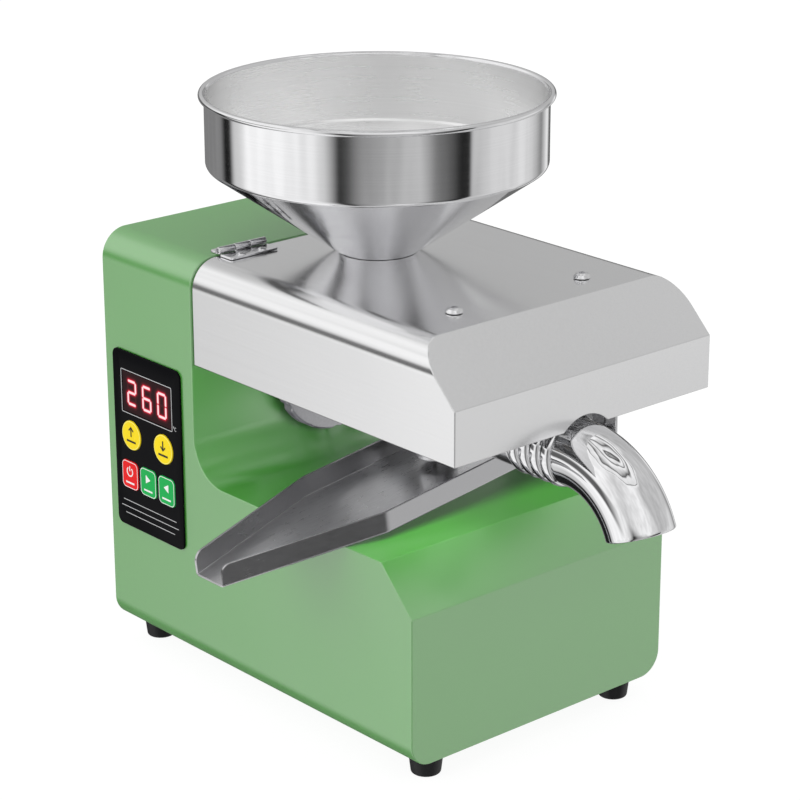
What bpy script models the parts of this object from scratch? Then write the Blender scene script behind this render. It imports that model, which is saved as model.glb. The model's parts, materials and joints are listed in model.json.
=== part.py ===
"""A countertop screw oil press, modelled as the separate pieces it comes apart into.

The frame is +X towards the residue outlet, -Y towards the control panel and the
oil tray, and +Z up. Z is 0 under the rubber feet. All sizes are in millimetres
on the bench of this script, where X is 0 at the front wall of the base and Y is
0 on the centre plane. MM turns them into Blender's metres.
"""

import math

import bmesh
import bpy
from mathutils import Matrix, Vector

MM = 0.001
WELD = 0.001

# Clearances
SEAT_GAP = 0.3
KEY_TRAVEL = 0.4
NECK_CLEARANCE = 4.5
MOUTH_GAP = 0.6

# Sheet-steel casing: a low base at the front and a tower at the rear
CASE_LENGTH = 241.0
CASE_WIDTH = 170.0
CASE_HEIGHT = 217.0
CASE_SHEET = 1.5
TOWER_DEPTH = 74.7
DECK_HEIGHT = 101.3
NOSE_HEIGHT = 78.4
NOSE_RUN = 22.0
TOP_RADIUS = 15.0
BOTTOM_RADIUS = 12.5
RECESS_RADIUS = 22.0
FLOOR_LIP = 28.0
FLOOR_LIP_SIDE = 36.0
REAR_RECESS = 1.5

# Rubber feet
FOOT_HEIGHT = 11.5
FOOT_TOP_RADIUS = 8.7
FOOT_BOTTOM_RADIUS = 7.4
FOOT_INSET_X = 12.6
FOOT_INSET_Y = 20.4

# Press barrel and the line that everything on it shares
PRESS_HEIGHT = 159.4
BORE_RADIUS = 12.0
BARREL_RADIUS = 19.3
BARREL_LENGTH = 148.7
MUZZLE_RADIUS = 16.7
MUZZLE_LENGTH = 35.0
MUZZLE_STEP = 1.5
THREAD_RADIUS = 14.0
THREAD_LENGTH = 12.0
BARREL_SIDES = 24
BARREL_FLANGE_RADIUS = 24.0
BARREL_FLANGE_THICKNESS = 7.0

# Feed throat and hopper
FEED_X = -121.6
FEED_RADIUS = 11.0
THROAT_RADIUS = 15.0
THROAT_WALL = 2.2
THROAT_NECK = 7.5
THROAT_FLARE = 20.0
NECK_RADIUS = 18.0
NECK_DEPTH = 14.0
HOPPER_SHEET = 1.0
HOPPER_SHOULDER_RADIUS = 20.2
HOPPER_RADIUS = 85.5
HOPPER_CONE_HEIGHT = 45.3
HOPPER_BOWL_HEIGHT = 36.7
HOPPER_KNEE_RADIUS = 5.0
RIM_BEAD_RADIUS = 1.6

# Barrel socket and lock ring on the tower wall
SOCKET_BACK_RADIUS = 27.4
SOCKET_CHAMFER = 2.2
SOCKET_THICKNESS = 4.0
BOSS_RADIUS = 31.0
BOSS_LENGTH = 4.0
LOCK_RING_RADIUS = 36.0
LOCK_RING_LIP = 2.4
LOCK_RING_NOTCHES = 12
LOCK_RING_NOTCH_RADIUS = 3.0

# Press screw
SCREW_RADIUS = 11.6
SCREW_PITCH = 16.0
SCREW_ROOT_REAR = 5.8
SCREW_ROOT_FRONT = 8.6
SCREW_JOURNAL_LENGTH = 15.0
SCREW_TIP_LENGTH = 6.0
SCREW_TIP_RADIUS = 5.0
DRIVE_FLATS = 11.4
DRIVE_LENGTH = 12.0

# Gear train in the tower
GEAR_PLATE = 4.0
GEARBOX_SPACE = 32.0
GEAR_PLATE_HALF_WIDTH = 44.0
GEAR_PLATE_TOP_MARGIN = 48.0
POST_RADIUS = 4.0
FIRST_MODULE = 1.5
FIRST_PINION_TEETH = 16
FIRST_GEAR_TEETH = 48
FIRST_GEAR_WIDTH = 8.0
SECOND_MODULE = 2.0
SECOND_PINION_TEETH = 14
SECOND_GEAR_TEETH = 36
SECOND_GEAR_WIDTH = 12.0
GEAR_SIDE_CLEARANCE = 3.0
BACKLASH = 0.35
OUTPUT_SHAFT_RADIUS = 8.0
OUTPUT_JOURNAL_RADIUS = 6.0
IDLER_SHAFT_RADIUS = 6.0
MOTOR_SHAFT_RADIUS = 4.0
FRONT_BEARING_RADIUS = 16.0
FRONT_BEARING_WIDTH = 6.0
REAR_BEARING_RADIUS = 12.0

# Geared motor under the deck
GEARHEAD_RADIUS = 34.0
GEARHEAD_LENGTH = 28.0
MOTOR_RADIUS = 38.0
MOTOR_LENGTH = 72.0
MOTOR_CAP_LENGTH = 12.0

# Nut, nozzle and outlet elbow
NUT_RADIUS = 18.2
NUT_LENGTH = 29.7
NUT_RIBS = 4
NUT_GROOVE_DEPTH = 1.8
CHOKE_RADIUS = 9.6
ELBOW_RADIUS = 16.8
ELBOW_WALL = 2.0
ELBOW_BEND_RADIUS = 43.9
ELBOW_ANGLE = 70.0
ELBOW_STRAIGHT = 3.0
NOZZLE_X = -78.0
NOZZLE_RADIUS = 10.0
NOZZLE_BORE = 6.0
NOZZLE_LENGTH = 10.6
OIL_HOLE_RADIUS = 4.0

# Heater band and probe on the barrel
BAND_X = -66.0
BAND_WIDTH = 18.0
BAND_THICKNESS = 3.4
BAND_EAR_HEIGHT = 8.0
BAND_EAR_THICKNESS = 3.0
BAND_SPLIT = 4.0
CLAMP_SCREW_RADIUS = 2.0
PROBE_X = -92.0
PROBE_RADIUS = 2.5
PROBE_LENGTH = 14.0

# Stainless cover over the barrel
COVER_HALF_WIDTH = 84.0
COVER_SHEET = 1.2
COVER_OVERHANG = 28.0
COVER_BOTTOM = 174.0
COVER_TOP = 227.9
COVER_BAND_HEIGHT = 27.05
COVER_SLOPE_RUN = 27.15
COVER_RADIUS = 15.0
COVER_REAR_GAP = 0.6
NOTCH_RADIUS = 20.5
COVER_SCREW_X = -18.7
COVER_SCREW_Y = 41.8
COVER_SCREW_HEAD_RADIUS = 4.2
COVER_SCREW_HEAD_HEIGHT = 2.4
COVER_SCREW_RADIUS = 2.0
COVER_SCREW_LENGTH = 7.0
REST_STRIP_WIDTH = 15.0
REST_STRIP_HALF_LENGTH = 52.0
REST_PAD_HALF_WIDTH = 11.0
REST_SHEET = 1.5

# Hinges between the tower and the cover
HINGE_Y = 52.6
HINGE_LENGTH = 29.8
HINGE_KNUCKLE_RADIUS = 1.8
HINGE_PIN_RADIUS = 0.9
HINGE_PIN_CLEARANCE = 0.25
HINGE_X_GAP = 1.0
HINGE_LEAF = 1.0
COVER_LEAF_WIDTH = 9.0
TOWER_LEAF_WIDTH = 4.5

# Oil tray and the splash plate behind it
TRAY_SHEET = 1.2
TRAY_SLOPE = 0.136
TRAY_WIDE = (-103.9, -40.5)
TRAY_TIP = (-82.8, -61.9)
TRAY_TIP_Y = -147.9
TRAY_CREASE_Y = -63.8
TRAY_FAR_Y = 75.0
TRAY_WALL = 10.4
TRAY_CORNER = 5.0
REST_PLATE_Y = 79.0
REST_PLATE_SPAN = (-108.0, -29.0)
REST_PLATE_TOP = 168.0
REST_FLANGE = 13.0

# Control panel on the side of the tower
PANEL_SPAN_X = (-233.4, -175.8)
PANEL_SPAN_Z = (70.3, 167.9)
PANEL_RADIUS = 4.0
PANEL_FILM = 1.0
PANEL_MARGIN = 4.8
WINDOW_SPAN_Z = (88.5, 160.5)
DISPLAY_SPAN_X = (-225.3, -183.6)
DISPLAY_SPAN_Z = (135.1, 157.0)
ROUND_KEYS = {"key_up": -218.5, "key_down": -190.8}
ROUND_KEY_Z = 122.5
ROUND_KEY_RADIUS = 8.0
SQUARE_KEYS = {"key_power": -220.7, "key_press": -204.8, "key_clear": -188.9}
SQUARE_KEY_Z = 99.9
SQUARE_KEY_SIZE = (13.8, 15.4)
SQUARE_KEY_RADIUS = 3.0
KEY_PROUD = 0.5
KEY_CAP = 3.0
KEY_STEM_RADIUS = 2.5
BOARD_DEPTH = 9.0
BOARD_THICKNESS = 1.6
BOARD_POST_RADIUS = 2.5

# Rear cover with the fan, the inlet and the switch
REAR_SHEET = 1.5
FAN_Z = 182.0
FAN_SIZE = 60.0
FAN_DEPTH = 15.0
FAN_DUCT_RADIUS = 28.5
FAN_HUB_RADIUS = 11.0
FAN_BLADES = 7
FAN_BLADE_RADIUS = 27.0
FAN_BLADE_PITCH = 38.0
FAN_STRUTS = 4
FAN_STRUT = 3.0
FAN_AXLE_RADIUS = 1.5
GRILLE_SLOTS = 7
GRILLE_SLOT = 3.4
GRILLE_PITCH = 7.4
LOUVRE_SLOTS = 8
LOUVRE_SLOT = (44.0, 3.0)
LOUVRE_PITCH = 8.0
LOUVRE_Z = 36.0
INLET_Y = 61.0
INLET_Z = 48.0
INLET_BODY = (20.0, 27.5)
INLET_FLANGE = (25.0, 48.0)
INLET_DEPTH = 22.0
INLET_CAVITY = (16.4, 24.0)
INLET_CAVITY_DEPTH = 15.0
INLET_PIN = (4.0, 2.0)
INLET_PIN_PITCH = 7.0
INLET_FLANGE_THICKNESS = 2.0
SWITCH_Z = 104.0
SWITCH_BODY = (13.6, 19.4)
SWITCH_FLANGE = (17.0, 24.0)
SWITCH_FLANGE_THICKNESS = 1.6
SWITCH_DEPTH = 16.0
ROCKER_RADIUS = 8.2
ROCKER_WIDTH = 10.0
ROCKER_TILT = 8.0

# Base plate
BASE_SHEET = 1.5
BASE_SLOTS = 9
BASE_SLOT = (4.0, 50.0)
BASE_SLOT_PITCH = 10.0

# Places worked out from the sizes
SIDE = CASE_WIDTH / 2
REAR = -CASE_LENGTH
DECK = FOOT_HEIGHT + DECK_HEIGHT
TOP = FOOT_HEIGHT + CASE_HEIGHT
TOWER_FRONT = TOWER_DEPTH - CASE_LENGTH
FLOOR = FOOT_HEIGHT + CASE_SHEET
BASE_PLATE_TOP = FLOOR + SEAT_GAP + BASE_SHEET
GEARBOX_FRONT = TOWER_FRONT - CASE_SHEET - SEAT_GAP
GEARBOX_INNER_FRONT = GEARBOX_FRONT - GEAR_PLATE
GEARBOX_INNER_REAR = GEARBOX_INNER_FRONT - GEARBOX_SPACE
GEARBOX_REAR = GEARBOX_INNER_REAR - GEAR_PLATE
SECOND_CENTRES = SECOND_MODULE * (SECOND_PINION_TEETH + SECOND_GEAR_TEETH) / 2
FIRST_CENTRES = FIRST_MODULE * (FIRST_PINION_TEETH + FIRST_GEAR_TEETH) / 2
IDLER_HEIGHT = PRESS_HEIGHT - SECOND_CENTRES
MOTOR_HEIGHT = IDLER_HEIGHT - FIRST_CENTRES
FIRST_STAGE_FRONT = GEARBOX_INNER_FRONT - GEAR_SIDE_CLEARANCE
FIRST_STAGE_REAR = FIRST_STAGE_FRONT - FIRST_GEAR_WIDTH
SECOND_STAGE_FRONT = FIRST_STAGE_REAR - GEAR_SIDE_CLEARANCE
SECOND_STAGE_REAR = SECOND_STAGE_FRONT - SECOND_GEAR_WIDTH
SOCKET_REAR = TOWER_FRONT + SEAT_GAP
SOCKET_FACE = SOCKET_REAR + SOCKET_THICKNESS
BOSS_FACE = SOCKET_FACE + BOSS_LENGTH
BARREL_REAR = BOSS_FACE - BARREL_FLANGE_THICKNESS
BARREL_SHOULDER = BOSS_FACE
MUZZLE_FACE = BARREL_SHOULDER + BARREL_LENGTH
THREAD_FACE = MUZZLE_FACE + THREAD_LENGTH
NUT_REAR = MUZZLE_FACE + SEAT_GAP
NUT_FRONT = NUT_REAR + NUT_LENGTH
ELBOW_REAR = NUT_FRONT + SEAT_GAP
BEND_X = ELBOW_REAR + ELBOW_STRAIGHT
SCREW_REAR = BARREL_REAR + 2.7
SCREW_FRONT = THREAD_FACE
DRIVE_REAR = SCREW_REAR - 3.0
COVER_REAR = TOWER_FRONT + COVER_REAR_GAP
HOPPER_SEAT = COVER_TOP + SEAT_GAP
HOPPER_KNEE = HOPPER_SEAT + HOPPER_CONE_HEIGHT
HOPPER_RIM = HOPPER_KNEE + HOPPER_BOWL_HEIGHT
NECK_BOTTOM = HOPPER_SEAT - NECK_DEPTH
THROAT_MOUTH = NECK_BOTTOM - MOUTH_GAP
THROAT_MOUTH_RADIUS = NECK_RADIUS + NECK_CLEARANCE
HINGE_X = TOWER_FRONT + HINGE_X_GAP
HINGE_Z = TOP + SEAT_GAP + HINGE_KNUCKLE_RADIUS
REAR_FACE = REAR + REAR_RECESS
REAR_INSIDE = REAR_FACE + REAR_SHEET
FAN_REAR = REAR_INSIDE + SEAT_GAP
FAN_FRONT = FAN_REAR + FAN_DEPTH
PANEL_BACK = -SIDE - SEAT_GAP
PANEL_FACE = PANEL_BACK - PANEL_FILM
BOARD_FACE = -SIDE + BOARD_DEPTH
ROCKER_X = REAR_FACE - SWITCH_FLANGE_THICKNESS + 4.0

# Finishes: colour, roughness, metallic
FINISHES = {
    "green_paint": ((0.21, 0.45, 0.16), 0.38, 0.0),
    "stainless": ((0.72, 0.72, 0.73), 0.18, 1.0),
    "chrome": ((0.80, 0.80, 0.81), 0.05, 1.0),
    "steel": ((0.45, 0.46, 0.48), 0.35, 1.0),
    "aluminium": ((0.62, 0.63, 0.65), 0.40, 1.0),
    "zinc": ((0.55, 0.56, 0.58), 0.45, 1.0),
    "brass": ((0.70, 0.52, 0.22), 0.30, 1.0),
    "black_rubber": ((0.02, 0.02, 0.02), 0.85, 0.0),
    "black_plastic": ((0.02, 0.02, 0.022), 0.45, 0.0),
    "white_nylon": ((0.80, 0.80, 0.76), 0.50, 0.0),
    "panel_film": ((0.008, 0.008, 0.010), 0.20, 0.0),
    "display_red": ((0.25, 0.01, 0.02), 0.10, 0.0),
    "board_green": ((0.02, 0.20, 0.08), 0.50, 0.0),
    "key_yellow": ((0.90, 0.62, 0.02), 0.35, 0.0),
    "key_red": ((0.75, 0.02, 0.03), 0.35, 0.0),
    "key_green": ((0.02, 0.50, 0.20), 0.35, 0.0),
}

# The joints' axes, as points on the bench
BODY_PIVOTS = {
    "root": Vector((0, 0, 0)),
    "cover": Vector((HINGE_X, 0, HINGE_Z)),
    "hopper": Vector((FEED_X, 0, HOPPER_SEAT)),
    "tray": Vector((sum(TRAY_WIDE) / 2, -SIDE, DECK)),
    "lock_ring": Vector((SOCKET_FACE, 0, PRESS_HEIGHT)),
    "screw": Vector((SCREW_REAR, 0, PRESS_HEIGHT)),
    "idler": Vector((GEARBOX_INNER_FRONT, 0, IDLER_HEIGHT)),
    "rotor": Vector((GEARBOX_INNER_FRONT, 0, MOTOR_HEIGHT)),
    "fan": Vector((FAN_FRONT, 0, FAN_Z)),
    "rocker": Vector((ROCKER_X, INLET_Y, SWITCH_Z)),
}


# Outlines and solids


def arc(centre, radius, start, end, steps=6):
    """Points on an arc about centre, from the start to the end angle in degrees."""
    turn = (end - start) / steps
    angles = [math.radians(start + turn * step) for step in range(steps + 1)]
    return [(centre[0] + radius * math.cos(a), centre[1] + radius * math.sin(a)) for a in angles]


def rectangle(u, v):
    """Corners of a rectangle between the two values of u and of v."""
    return [(u[0], v[0]), (u[1], v[0]), (u[1], v[1]), (u[0], v[1])]


def rounded_rectangle(u, v, lower, upper, steps=6):
    """A rectangle with round lower and upper corners; a radius of 0 leaves them sharp."""
    corners = [
        ((u[0], v[0]), 1, 1, lower, 180),
        ((u[1], v[0]), -1, 1, lower, 270),
        ((u[1], v[1]), -1, -1, upper, 0),
        ((u[0], v[1]), 1, -1, upper, 90),
    ]
    points = []
    for (cu, cv), way_u, way_v, radius, start in corners:
        if radius > 0:
            centre = (cu + way_u * radius, cv + way_v * radius)
            points += arc(centre, radius, start, start + 90, steps)
        else:
            points.append((cu, cv))
    return points


def inset(outline, distance):
    """The outline moved inwards by a distance, for an outline that runs anticlockwise."""
    moved = []
    count = len(outline)
    for i, corner in enumerate(outline):
        before = Vector(corner) - Vector(outline[i - 1])
        after = Vector(outline[(i + 1) % count]) - Vector(corner)
        normal_before = Vector((-before.y, before.x)).normalized()
        normal_after = Vector((-after.y, after.x)).normalized()
        bisector = normal_before + normal_after
        moved.append(tuple(Vector(corner) + bisector * (distance / (bisector.dot(normal_after)))))
    return moved


def new_object(name, mesh):
    """An object in the scene that holds the mesh."""
    item = bpy.data.objects.new(name, mesh)
    bpy.context.scene.collection.objects.link(item)
    return item


def from_bmesh(name, solid):
    """The bmesh as an object in metres, with its faces pointing out."""
    bmesh.ops.remove_doubles(solid, verts=solid.verts, dist=WELD)
    bmesh.ops.recalc_face_normals(solid, faces=solid.faces)
    solid.transform(Matrix.Scale(MM, 4))
    mesh = bpy.data.meshes.new(name)
    solid.to_mesh(mesh)
    solid.free()
    return new_object(name, mesh)


def to_space(axis, along, u, v):
    """The point at a distance along an axis and at (u, v) across it."""
    if axis == "X":
        return Vector((along, u, v))
    if axis == "Y":
        return Vector((u, along, v))
    return Vector((u, v, along))


def extruded(name, outline, axis, low, high):
    """The outline extruded along an axis between two places."""
    solid = bmesh.new()
    corners = [solid.verts.new(to_space(axis, low, u, v)) for u, v in outline]
    face = solid.faces.new(corners)
    top = bmesh.ops.extrude_face_region(solid, geom=[face])["geom"]
    moved = [item for item in top if isinstance(item, bmesh.types.BMVert)]
    bmesh.ops.translate(solid, verts=moved, vec=to_space(axis, high - low, 0, 0))
    return from_bmesh(name, solid)


def block(name, x, y, z):
    """A box between two values of each coordinate."""
    return extruded(name, rectangle(x, y), "Z", z[0], z[1])


def turned(name, profile, axis, centre, segments=20):
    """The closed profile of (along, radius) points spun about an axis through the centre."""
    solid = bmesh.new()
    up = to_space(axis, 0, 0, 1)
    if axis == "Z":
        up = Vector((1, 0, 0))
    ahead = to_space(axis, 1, 0, 0)
    ring = [solid.verts.new(Vector(centre) + ahead * along + up * radius) for along, radius in profile]
    sides = [i for i in range(len(ring)) if profile[i - 1][1] > 0 or profile[i][1] > 0]
    edges = [solid.edges.new((ring[i - 1], ring[i])) for i in sides]
    bmesh.ops.spin(
        solid,
        geom=ring + edges,
        cent=centre,
        axis=ahead,
        angle=math.tau,
        steps=segments,
        use_merge=True,
    )
    return from_bmesh(name, solid)


def rod(name, axis, centre, radius, low, high, segments=20):
    """A plain round bar about an axis through the centre."""
    profile = [(low, 0), (low, radius), (high, radius), (high, 0)]
    return turned(name, profile, axis, centre, segments)


def tube(name, axis, centre, inner, outer, low, high, segments=20):
    """A plain round tube about an axis through the centre."""
    profile = [(low, inner), (low, outer), (high, outer), (high, inner)]
    return turned(name, profile, axis, centre, segments)


def shaped(target, operation, tools):
    """The target after a Boolean with each tool, which is used up."""
    for tool in tools:
        change = target.modifiers.new("shape", "BOOLEAN")
        change.operation = operation
        change.solver = "EXACT"
        change.object = tool
        graph = bpy.context.evaluated_depsgraph_get()
        mesh = bpy.data.meshes.new_from_object(target.evaluated_get(graph))
        target.modifiers.clear()
        target.data = mesh
        bpy.data.objects.remove(tool)
        solid = bmesh.new()
        solid.from_mesh(mesh)
        bmesh.ops.remove_doubles(solid, verts=solid.verts, dist=WELD * MM)
        solid.to_mesh(mesh)
        solid.free()
    return target


def cut(target, *tools):
    """The target with the tools taken out of it."""
    return shaped(target, "DIFFERENCE", tools)


def joined(target, *tools):
    """The target and the tools as one solid."""
    return shaped(target, "UNION", tools)


def common(target, *tools):
    """What the target and the tools share."""
    return shaped(target, "INTERSECT", tools)


def dressed(item, body, finish):
    """Give a piece its material, smooth shading and its place under its body's pivot."""
    colour, roughness, metallic = FINISHES[finish]
    material = bpy.data.materials.get(finish)
    if material is None:
        material = bpy.data.materials.new(finish)
        material.use_nodes = True
        shader = material.node_tree.nodes["Principled BSDF"]
        shader.inputs["Base Color"].default_value = (*colour, 1)
        shader.inputs["Roughness"].default_value = roughness
        shader.inputs["Metallic"].default_value = metallic
    item.data.materials.clear()
    item.data.materials.append(material)
    item.data.shade_smooth()
    item.data.set_sharp_from_angle(angle=math.radians(35))
    pivot = BODY_PIVOTS[body] * MM
    item.data.transform(Matrix.Translation(-pivot))
    item.parent = bpy.data.objects["pivot_" + body]
    return item


def body_pivots():
    """One empty on each joint's axis; the hopper's is carried by the cover's."""
    press = bpy.data.objects.new("press", None)
    bpy.context.scene.collection.objects.link(press)
    for body, pivot in BODY_PIVOTS.items():
        empty = bpy.data.objects.new("pivot_" + body, None)
        bpy.context.scene.collection.objects.link(empty)
        empty.parent = press
        empty.location = pivot * MM
    hopper = bpy.data.objects["pivot_hopper"]
    hopper.parent = bpy.data.objects["pivot_cover"]
    hopper.location = (BODY_PIVOTS["hopper"] - BODY_PIVOTS["cover"]) * MM
    return press


# Casing, base plate, feet and rear cover


def casing_side_outline():
    """The casing seen from the side, anticlockwise in X and Z from its lower rear corner."""
    recess = arc(
        (TOWER_FRONT + RECESS_RADIUS, DECK + RECESS_RADIUS), RECESS_RADIUS, 270, 180, steps=8
    )
    return [
        (REAR, FOOT_HEIGHT),
        (0, FOOT_HEIGHT),
        (0, FOOT_HEIGHT + NOSE_HEIGHT),
        (-NOSE_RUN, DECK),
        *recess,
        (TOWER_FRONT, TOP),
        (REAR, TOP),
    ]


def casing_section(depth):
    """The casing seen from the front, at a depth inside its outer surface."""
    return rounded_rectangle(
        (-SIDE + depth, SIDE - depth),
        (FOOT_HEIGHT + depth, TOP - depth),
        BOTTOM_RADIUS - depth,
        TOP_RADIUS - depth,
    )


def casing_shell():
    """The painted sheet-steel shell, open behind and below."""
    side = casing_side_outline()
    shell = common(
        extruded("casing_shell", side, "Y", -SIDE - 1, SIDE + 1),
        extruded("section", casing_section(0), "X", REAR - 1, 1),
    )
    inner = [(REAR - 5 if x < REAR + 5 else x, z) for x, z in inset(side, CASE_SHEET)]
    hollow = common(
        extruded("hollow", inner, "Y", -SIDE, SIDE),
        extruded("section", casing_section(CASE_SHEET), "X", REAR - 6, 1),
    )
    floor_half = SIDE - FLOOR_LIP_SIDE
    floor = block(
        "floor",
        (REAR + FLOOR_LIP, -FLOOR_LIP),
        (-floor_half, floor_half),
        (FOOT_HEIGHT - 1, FLOOR + 1),
    )
    window_x = (PANEL_SPAN_X[0] + PANEL_MARGIN, PANEL_SPAN_X[1] - PANEL_MARGIN)
    window = block("window", window_x, (-SIDE - 1, -SIDE + CASE_SHEET + 1), WINDOW_SPAN_Z)
    wall_hole = rod(
        "wall_hole",
        "X",
        (0, 0, PRESS_HEIGHT),
        BARREL_FLANGE_RADIUS,
        TOWER_FRONT - CASE_SHEET - 1,
        TOWER_FRONT + 1,
    )
    cut(shell, hollow, floor, window, wall_hole)
    return dressed(shell, "root", "green_paint")


def base_plate():
    """The vented plate that closes the underside from inside the lip."""
    low = FLOOR + SEAT_GAP
    half = SIDE - BOTTOM_RADIUS
    plate = block(
        "base_plate",
        (REAR_INSIDE + SEAT_GAP, -CASE_SHEET - SEAT_GAP),
        (-half, half),
        (low, low + BASE_SHEET),
    )
    middle = -CASE_LENGTH / 2
    for number in range(BASE_SLOTS):
        x = middle + (number - (BASE_SLOTS - 1) / 2) * BASE_SLOT_PITCH
        slot = centred(x, 0, BASE_SLOT)
        cut(plate, extruded("slot", slot, "Z", low - 1, low + BASE_SHEET + 1))
    return dressed(plate, "root", "zinc")


def feet():
    """Four tapered rubber feet under the corners."""
    places = {
        "foot_front_right": (-FOOT_INSET_X, -SIDE + FOOT_INSET_Y),
        "foot_front_left": (-FOOT_INSET_X, SIDE - FOOT_INSET_Y),
        "foot_rear_right": (REAR + FOOT_INSET_X, -SIDE + FOOT_INSET_Y),
        "foot_rear_left": (REAR + FOOT_INSET_X, SIDE - FOOT_INSET_Y),
    }
    high = FOOT_HEIGHT - SEAT_GAP
    profile = [
        (0, 0),
        (0, FOOT_BOTTOM_RADIUS - 1),
        (1, FOOT_BOTTOM_RADIUS),
        (high - 1.2, FOOT_TOP_RADIUS),
        (high, FOOT_TOP_RADIUS),
        (high, 0),
    ]
    for name, (x, y) in places.items():
        dressed(turned(name, profile, "Z", (x, y, 0), segments=20), "root", "black_rubber")


def rear_cover():
    """The vented plate behind the tower and base, which carries the fan, inlet and switch."""
    outline = inset(casing_section(CASE_SHEET), SEAT_GAP)
    plate = extruded("rear_cover", outline, "X", REAR_FACE, REAR_INSIDE)
    ends = (REAR_FACE - 1, REAR_INSIDE + 1)
    tools = []
    for number in range(GRILLE_SLOTS):
        offset = (number - (GRILLE_SLOTS - 1) / 2) * GRILLE_PITCH
        half = math.sqrt((FAN_DUCT_RADIUS - 1) ** 2 - offset**2)
        slot = rectangle(
            (-half, half), (FAN_Z + offset - GRILLE_SLOT / 2, FAN_Z + offset + GRILLE_SLOT / 2)
        )
        tools.append(extruded("slot", slot, "X", *ends))
    for number in range(LOUVRE_SLOTS):
        z = LOUVRE_Z + number * LOUVRE_PITCH
        slot = rectangle(
            (-LOUVRE_SLOT[0] / 2, LOUVRE_SLOT[0] / 2), (z - LOUVRE_SLOT[1] / 2, z + LOUVRE_SLOT[1] / 2)
        )
        tools.append(extruded("slot", slot, "X", *ends))
    for size, z in ((INLET_BODY, INLET_Z), (SWITCH_BODY, SWITCH_Z)):
        hole = centred(INLET_Y, z, size, SEAT_GAP)
        tools.append(extruded("hole", hole, "X", *ends))
    cut(plate, *tools)
    return dressed(plate, "root", "zinc")


def centred(u, v, size, more=0.0):
    """A rectangle of a size about (u, v), with the same amount more on each side."""
    half_u = size[0] / 2 + more
    half_v = size[1] / 2 + more
    return rectangle((u - half_u, u + half_u), (v - half_v, v + half_v))


def power_inlet():
    """The mains inlet: a flanged block with a deep cavity and three blades."""
    outer = REAR_FACE - SEAT_GAP
    inlet = joined(
        extruded("power_inlet", centred(INLET_Y, INLET_Z, INLET_BODY), "X", outer - 1, outer + INLET_DEPTH),
        extruded(
            "flange",
            rounded_rectangle(
                (INLET_Y - INLET_FLANGE[0] / 2, INLET_Y + INLET_FLANGE[0] / 2),
                (INLET_Z - INLET_FLANGE[1] / 2, INLET_Z + INLET_FLANGE[1] / 2),
                3,
                3,
                steps=3,
            ),
            "X",
            outer - INLET_FLANGE_THICKNESS,
            outer,
        ),
    )
    mouth = outer - INLET_FLANGE_THICKNESS
    cavity_end = mouth + INLET_CAVITY_DEPTH
    cavity = extruded("cavity", centred(INLET_Y, INLET_Z, INLET_CAVITY), "X", mouth - 1, cavity_end)
    cut(inlet, cavity)
    for step, shift in ((-1, -2.0), (0, 2.0), (1, -2.0)):
        z = INLET_Z + step * INLET_PIN_PITCH
        blade = centred(INLET_Y + shift, z, INLET_PIN)
        joined(inlet, extruded("blade", blade, "X", mouth + 2, cavity_end + 1))
    return dressed(inlet, "root", "black_plastic")


def rocker_switch():
    """The mains switch: a flanged frame and the rocker that tips in it."""
    outer = REAR_FACE - SEAT_GAP
    frame = joined(
        extruded("switch_frame", centred(INLET_Y, SWITCH_Z, SWITCH_BODY), "X", outer - 1, outer + SWITCH_DEPTH),
        extruded(
            "flange", centred(INLET_Y, SWITCH_Z, SWITCH_FLANGE), "X", outer - SWITCH_FLANGE_THICKNESS, outer
        ),
    )
    width = ROCKER_WIDTH / 2 + SEAT_GAP
    well = extruded(
        "well",
        arc((ROCKER_X, SWITCH_Z), ROCKER_RADIUS + SEAT_GAP, 0, 345, steps=23),
        "Y",
        INLET_Y - width,
        INLET_Y + width,
    )
    cut(frame, well)
    dressed(frame, "root", "black_plastic")
    edge = math.radians(180 - 48)
    low = (ROCKER_RADIUS * math.cos(edge), ROCKER_RADIUS * math.sin(edge))
    outline = [(low[0], -low[1]), *arc((0, 0), ROCKER_RADIUS, -120, 120, steps=12), low, (-4.6, 0)]
    tilt = math.radians(ROCKER_TILT)
    tipped = [
        (
            ROCKER_X + x * math.cos(tilt) - z * math.sin(tilt),
            SWITCH_Z + x * math.sin(tilt) + z * math.cos(tilt),
        )
        for x, z in outline
    ]
    rocker = extruded(
        "rocker", tipped, "Y", INLET_Y - ROCKER_WIDTH / 2, INLET_Y + ROCKER_WIDTH / 2
    )
    dressed(rocker, "rocker", "black_plastic")


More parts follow.
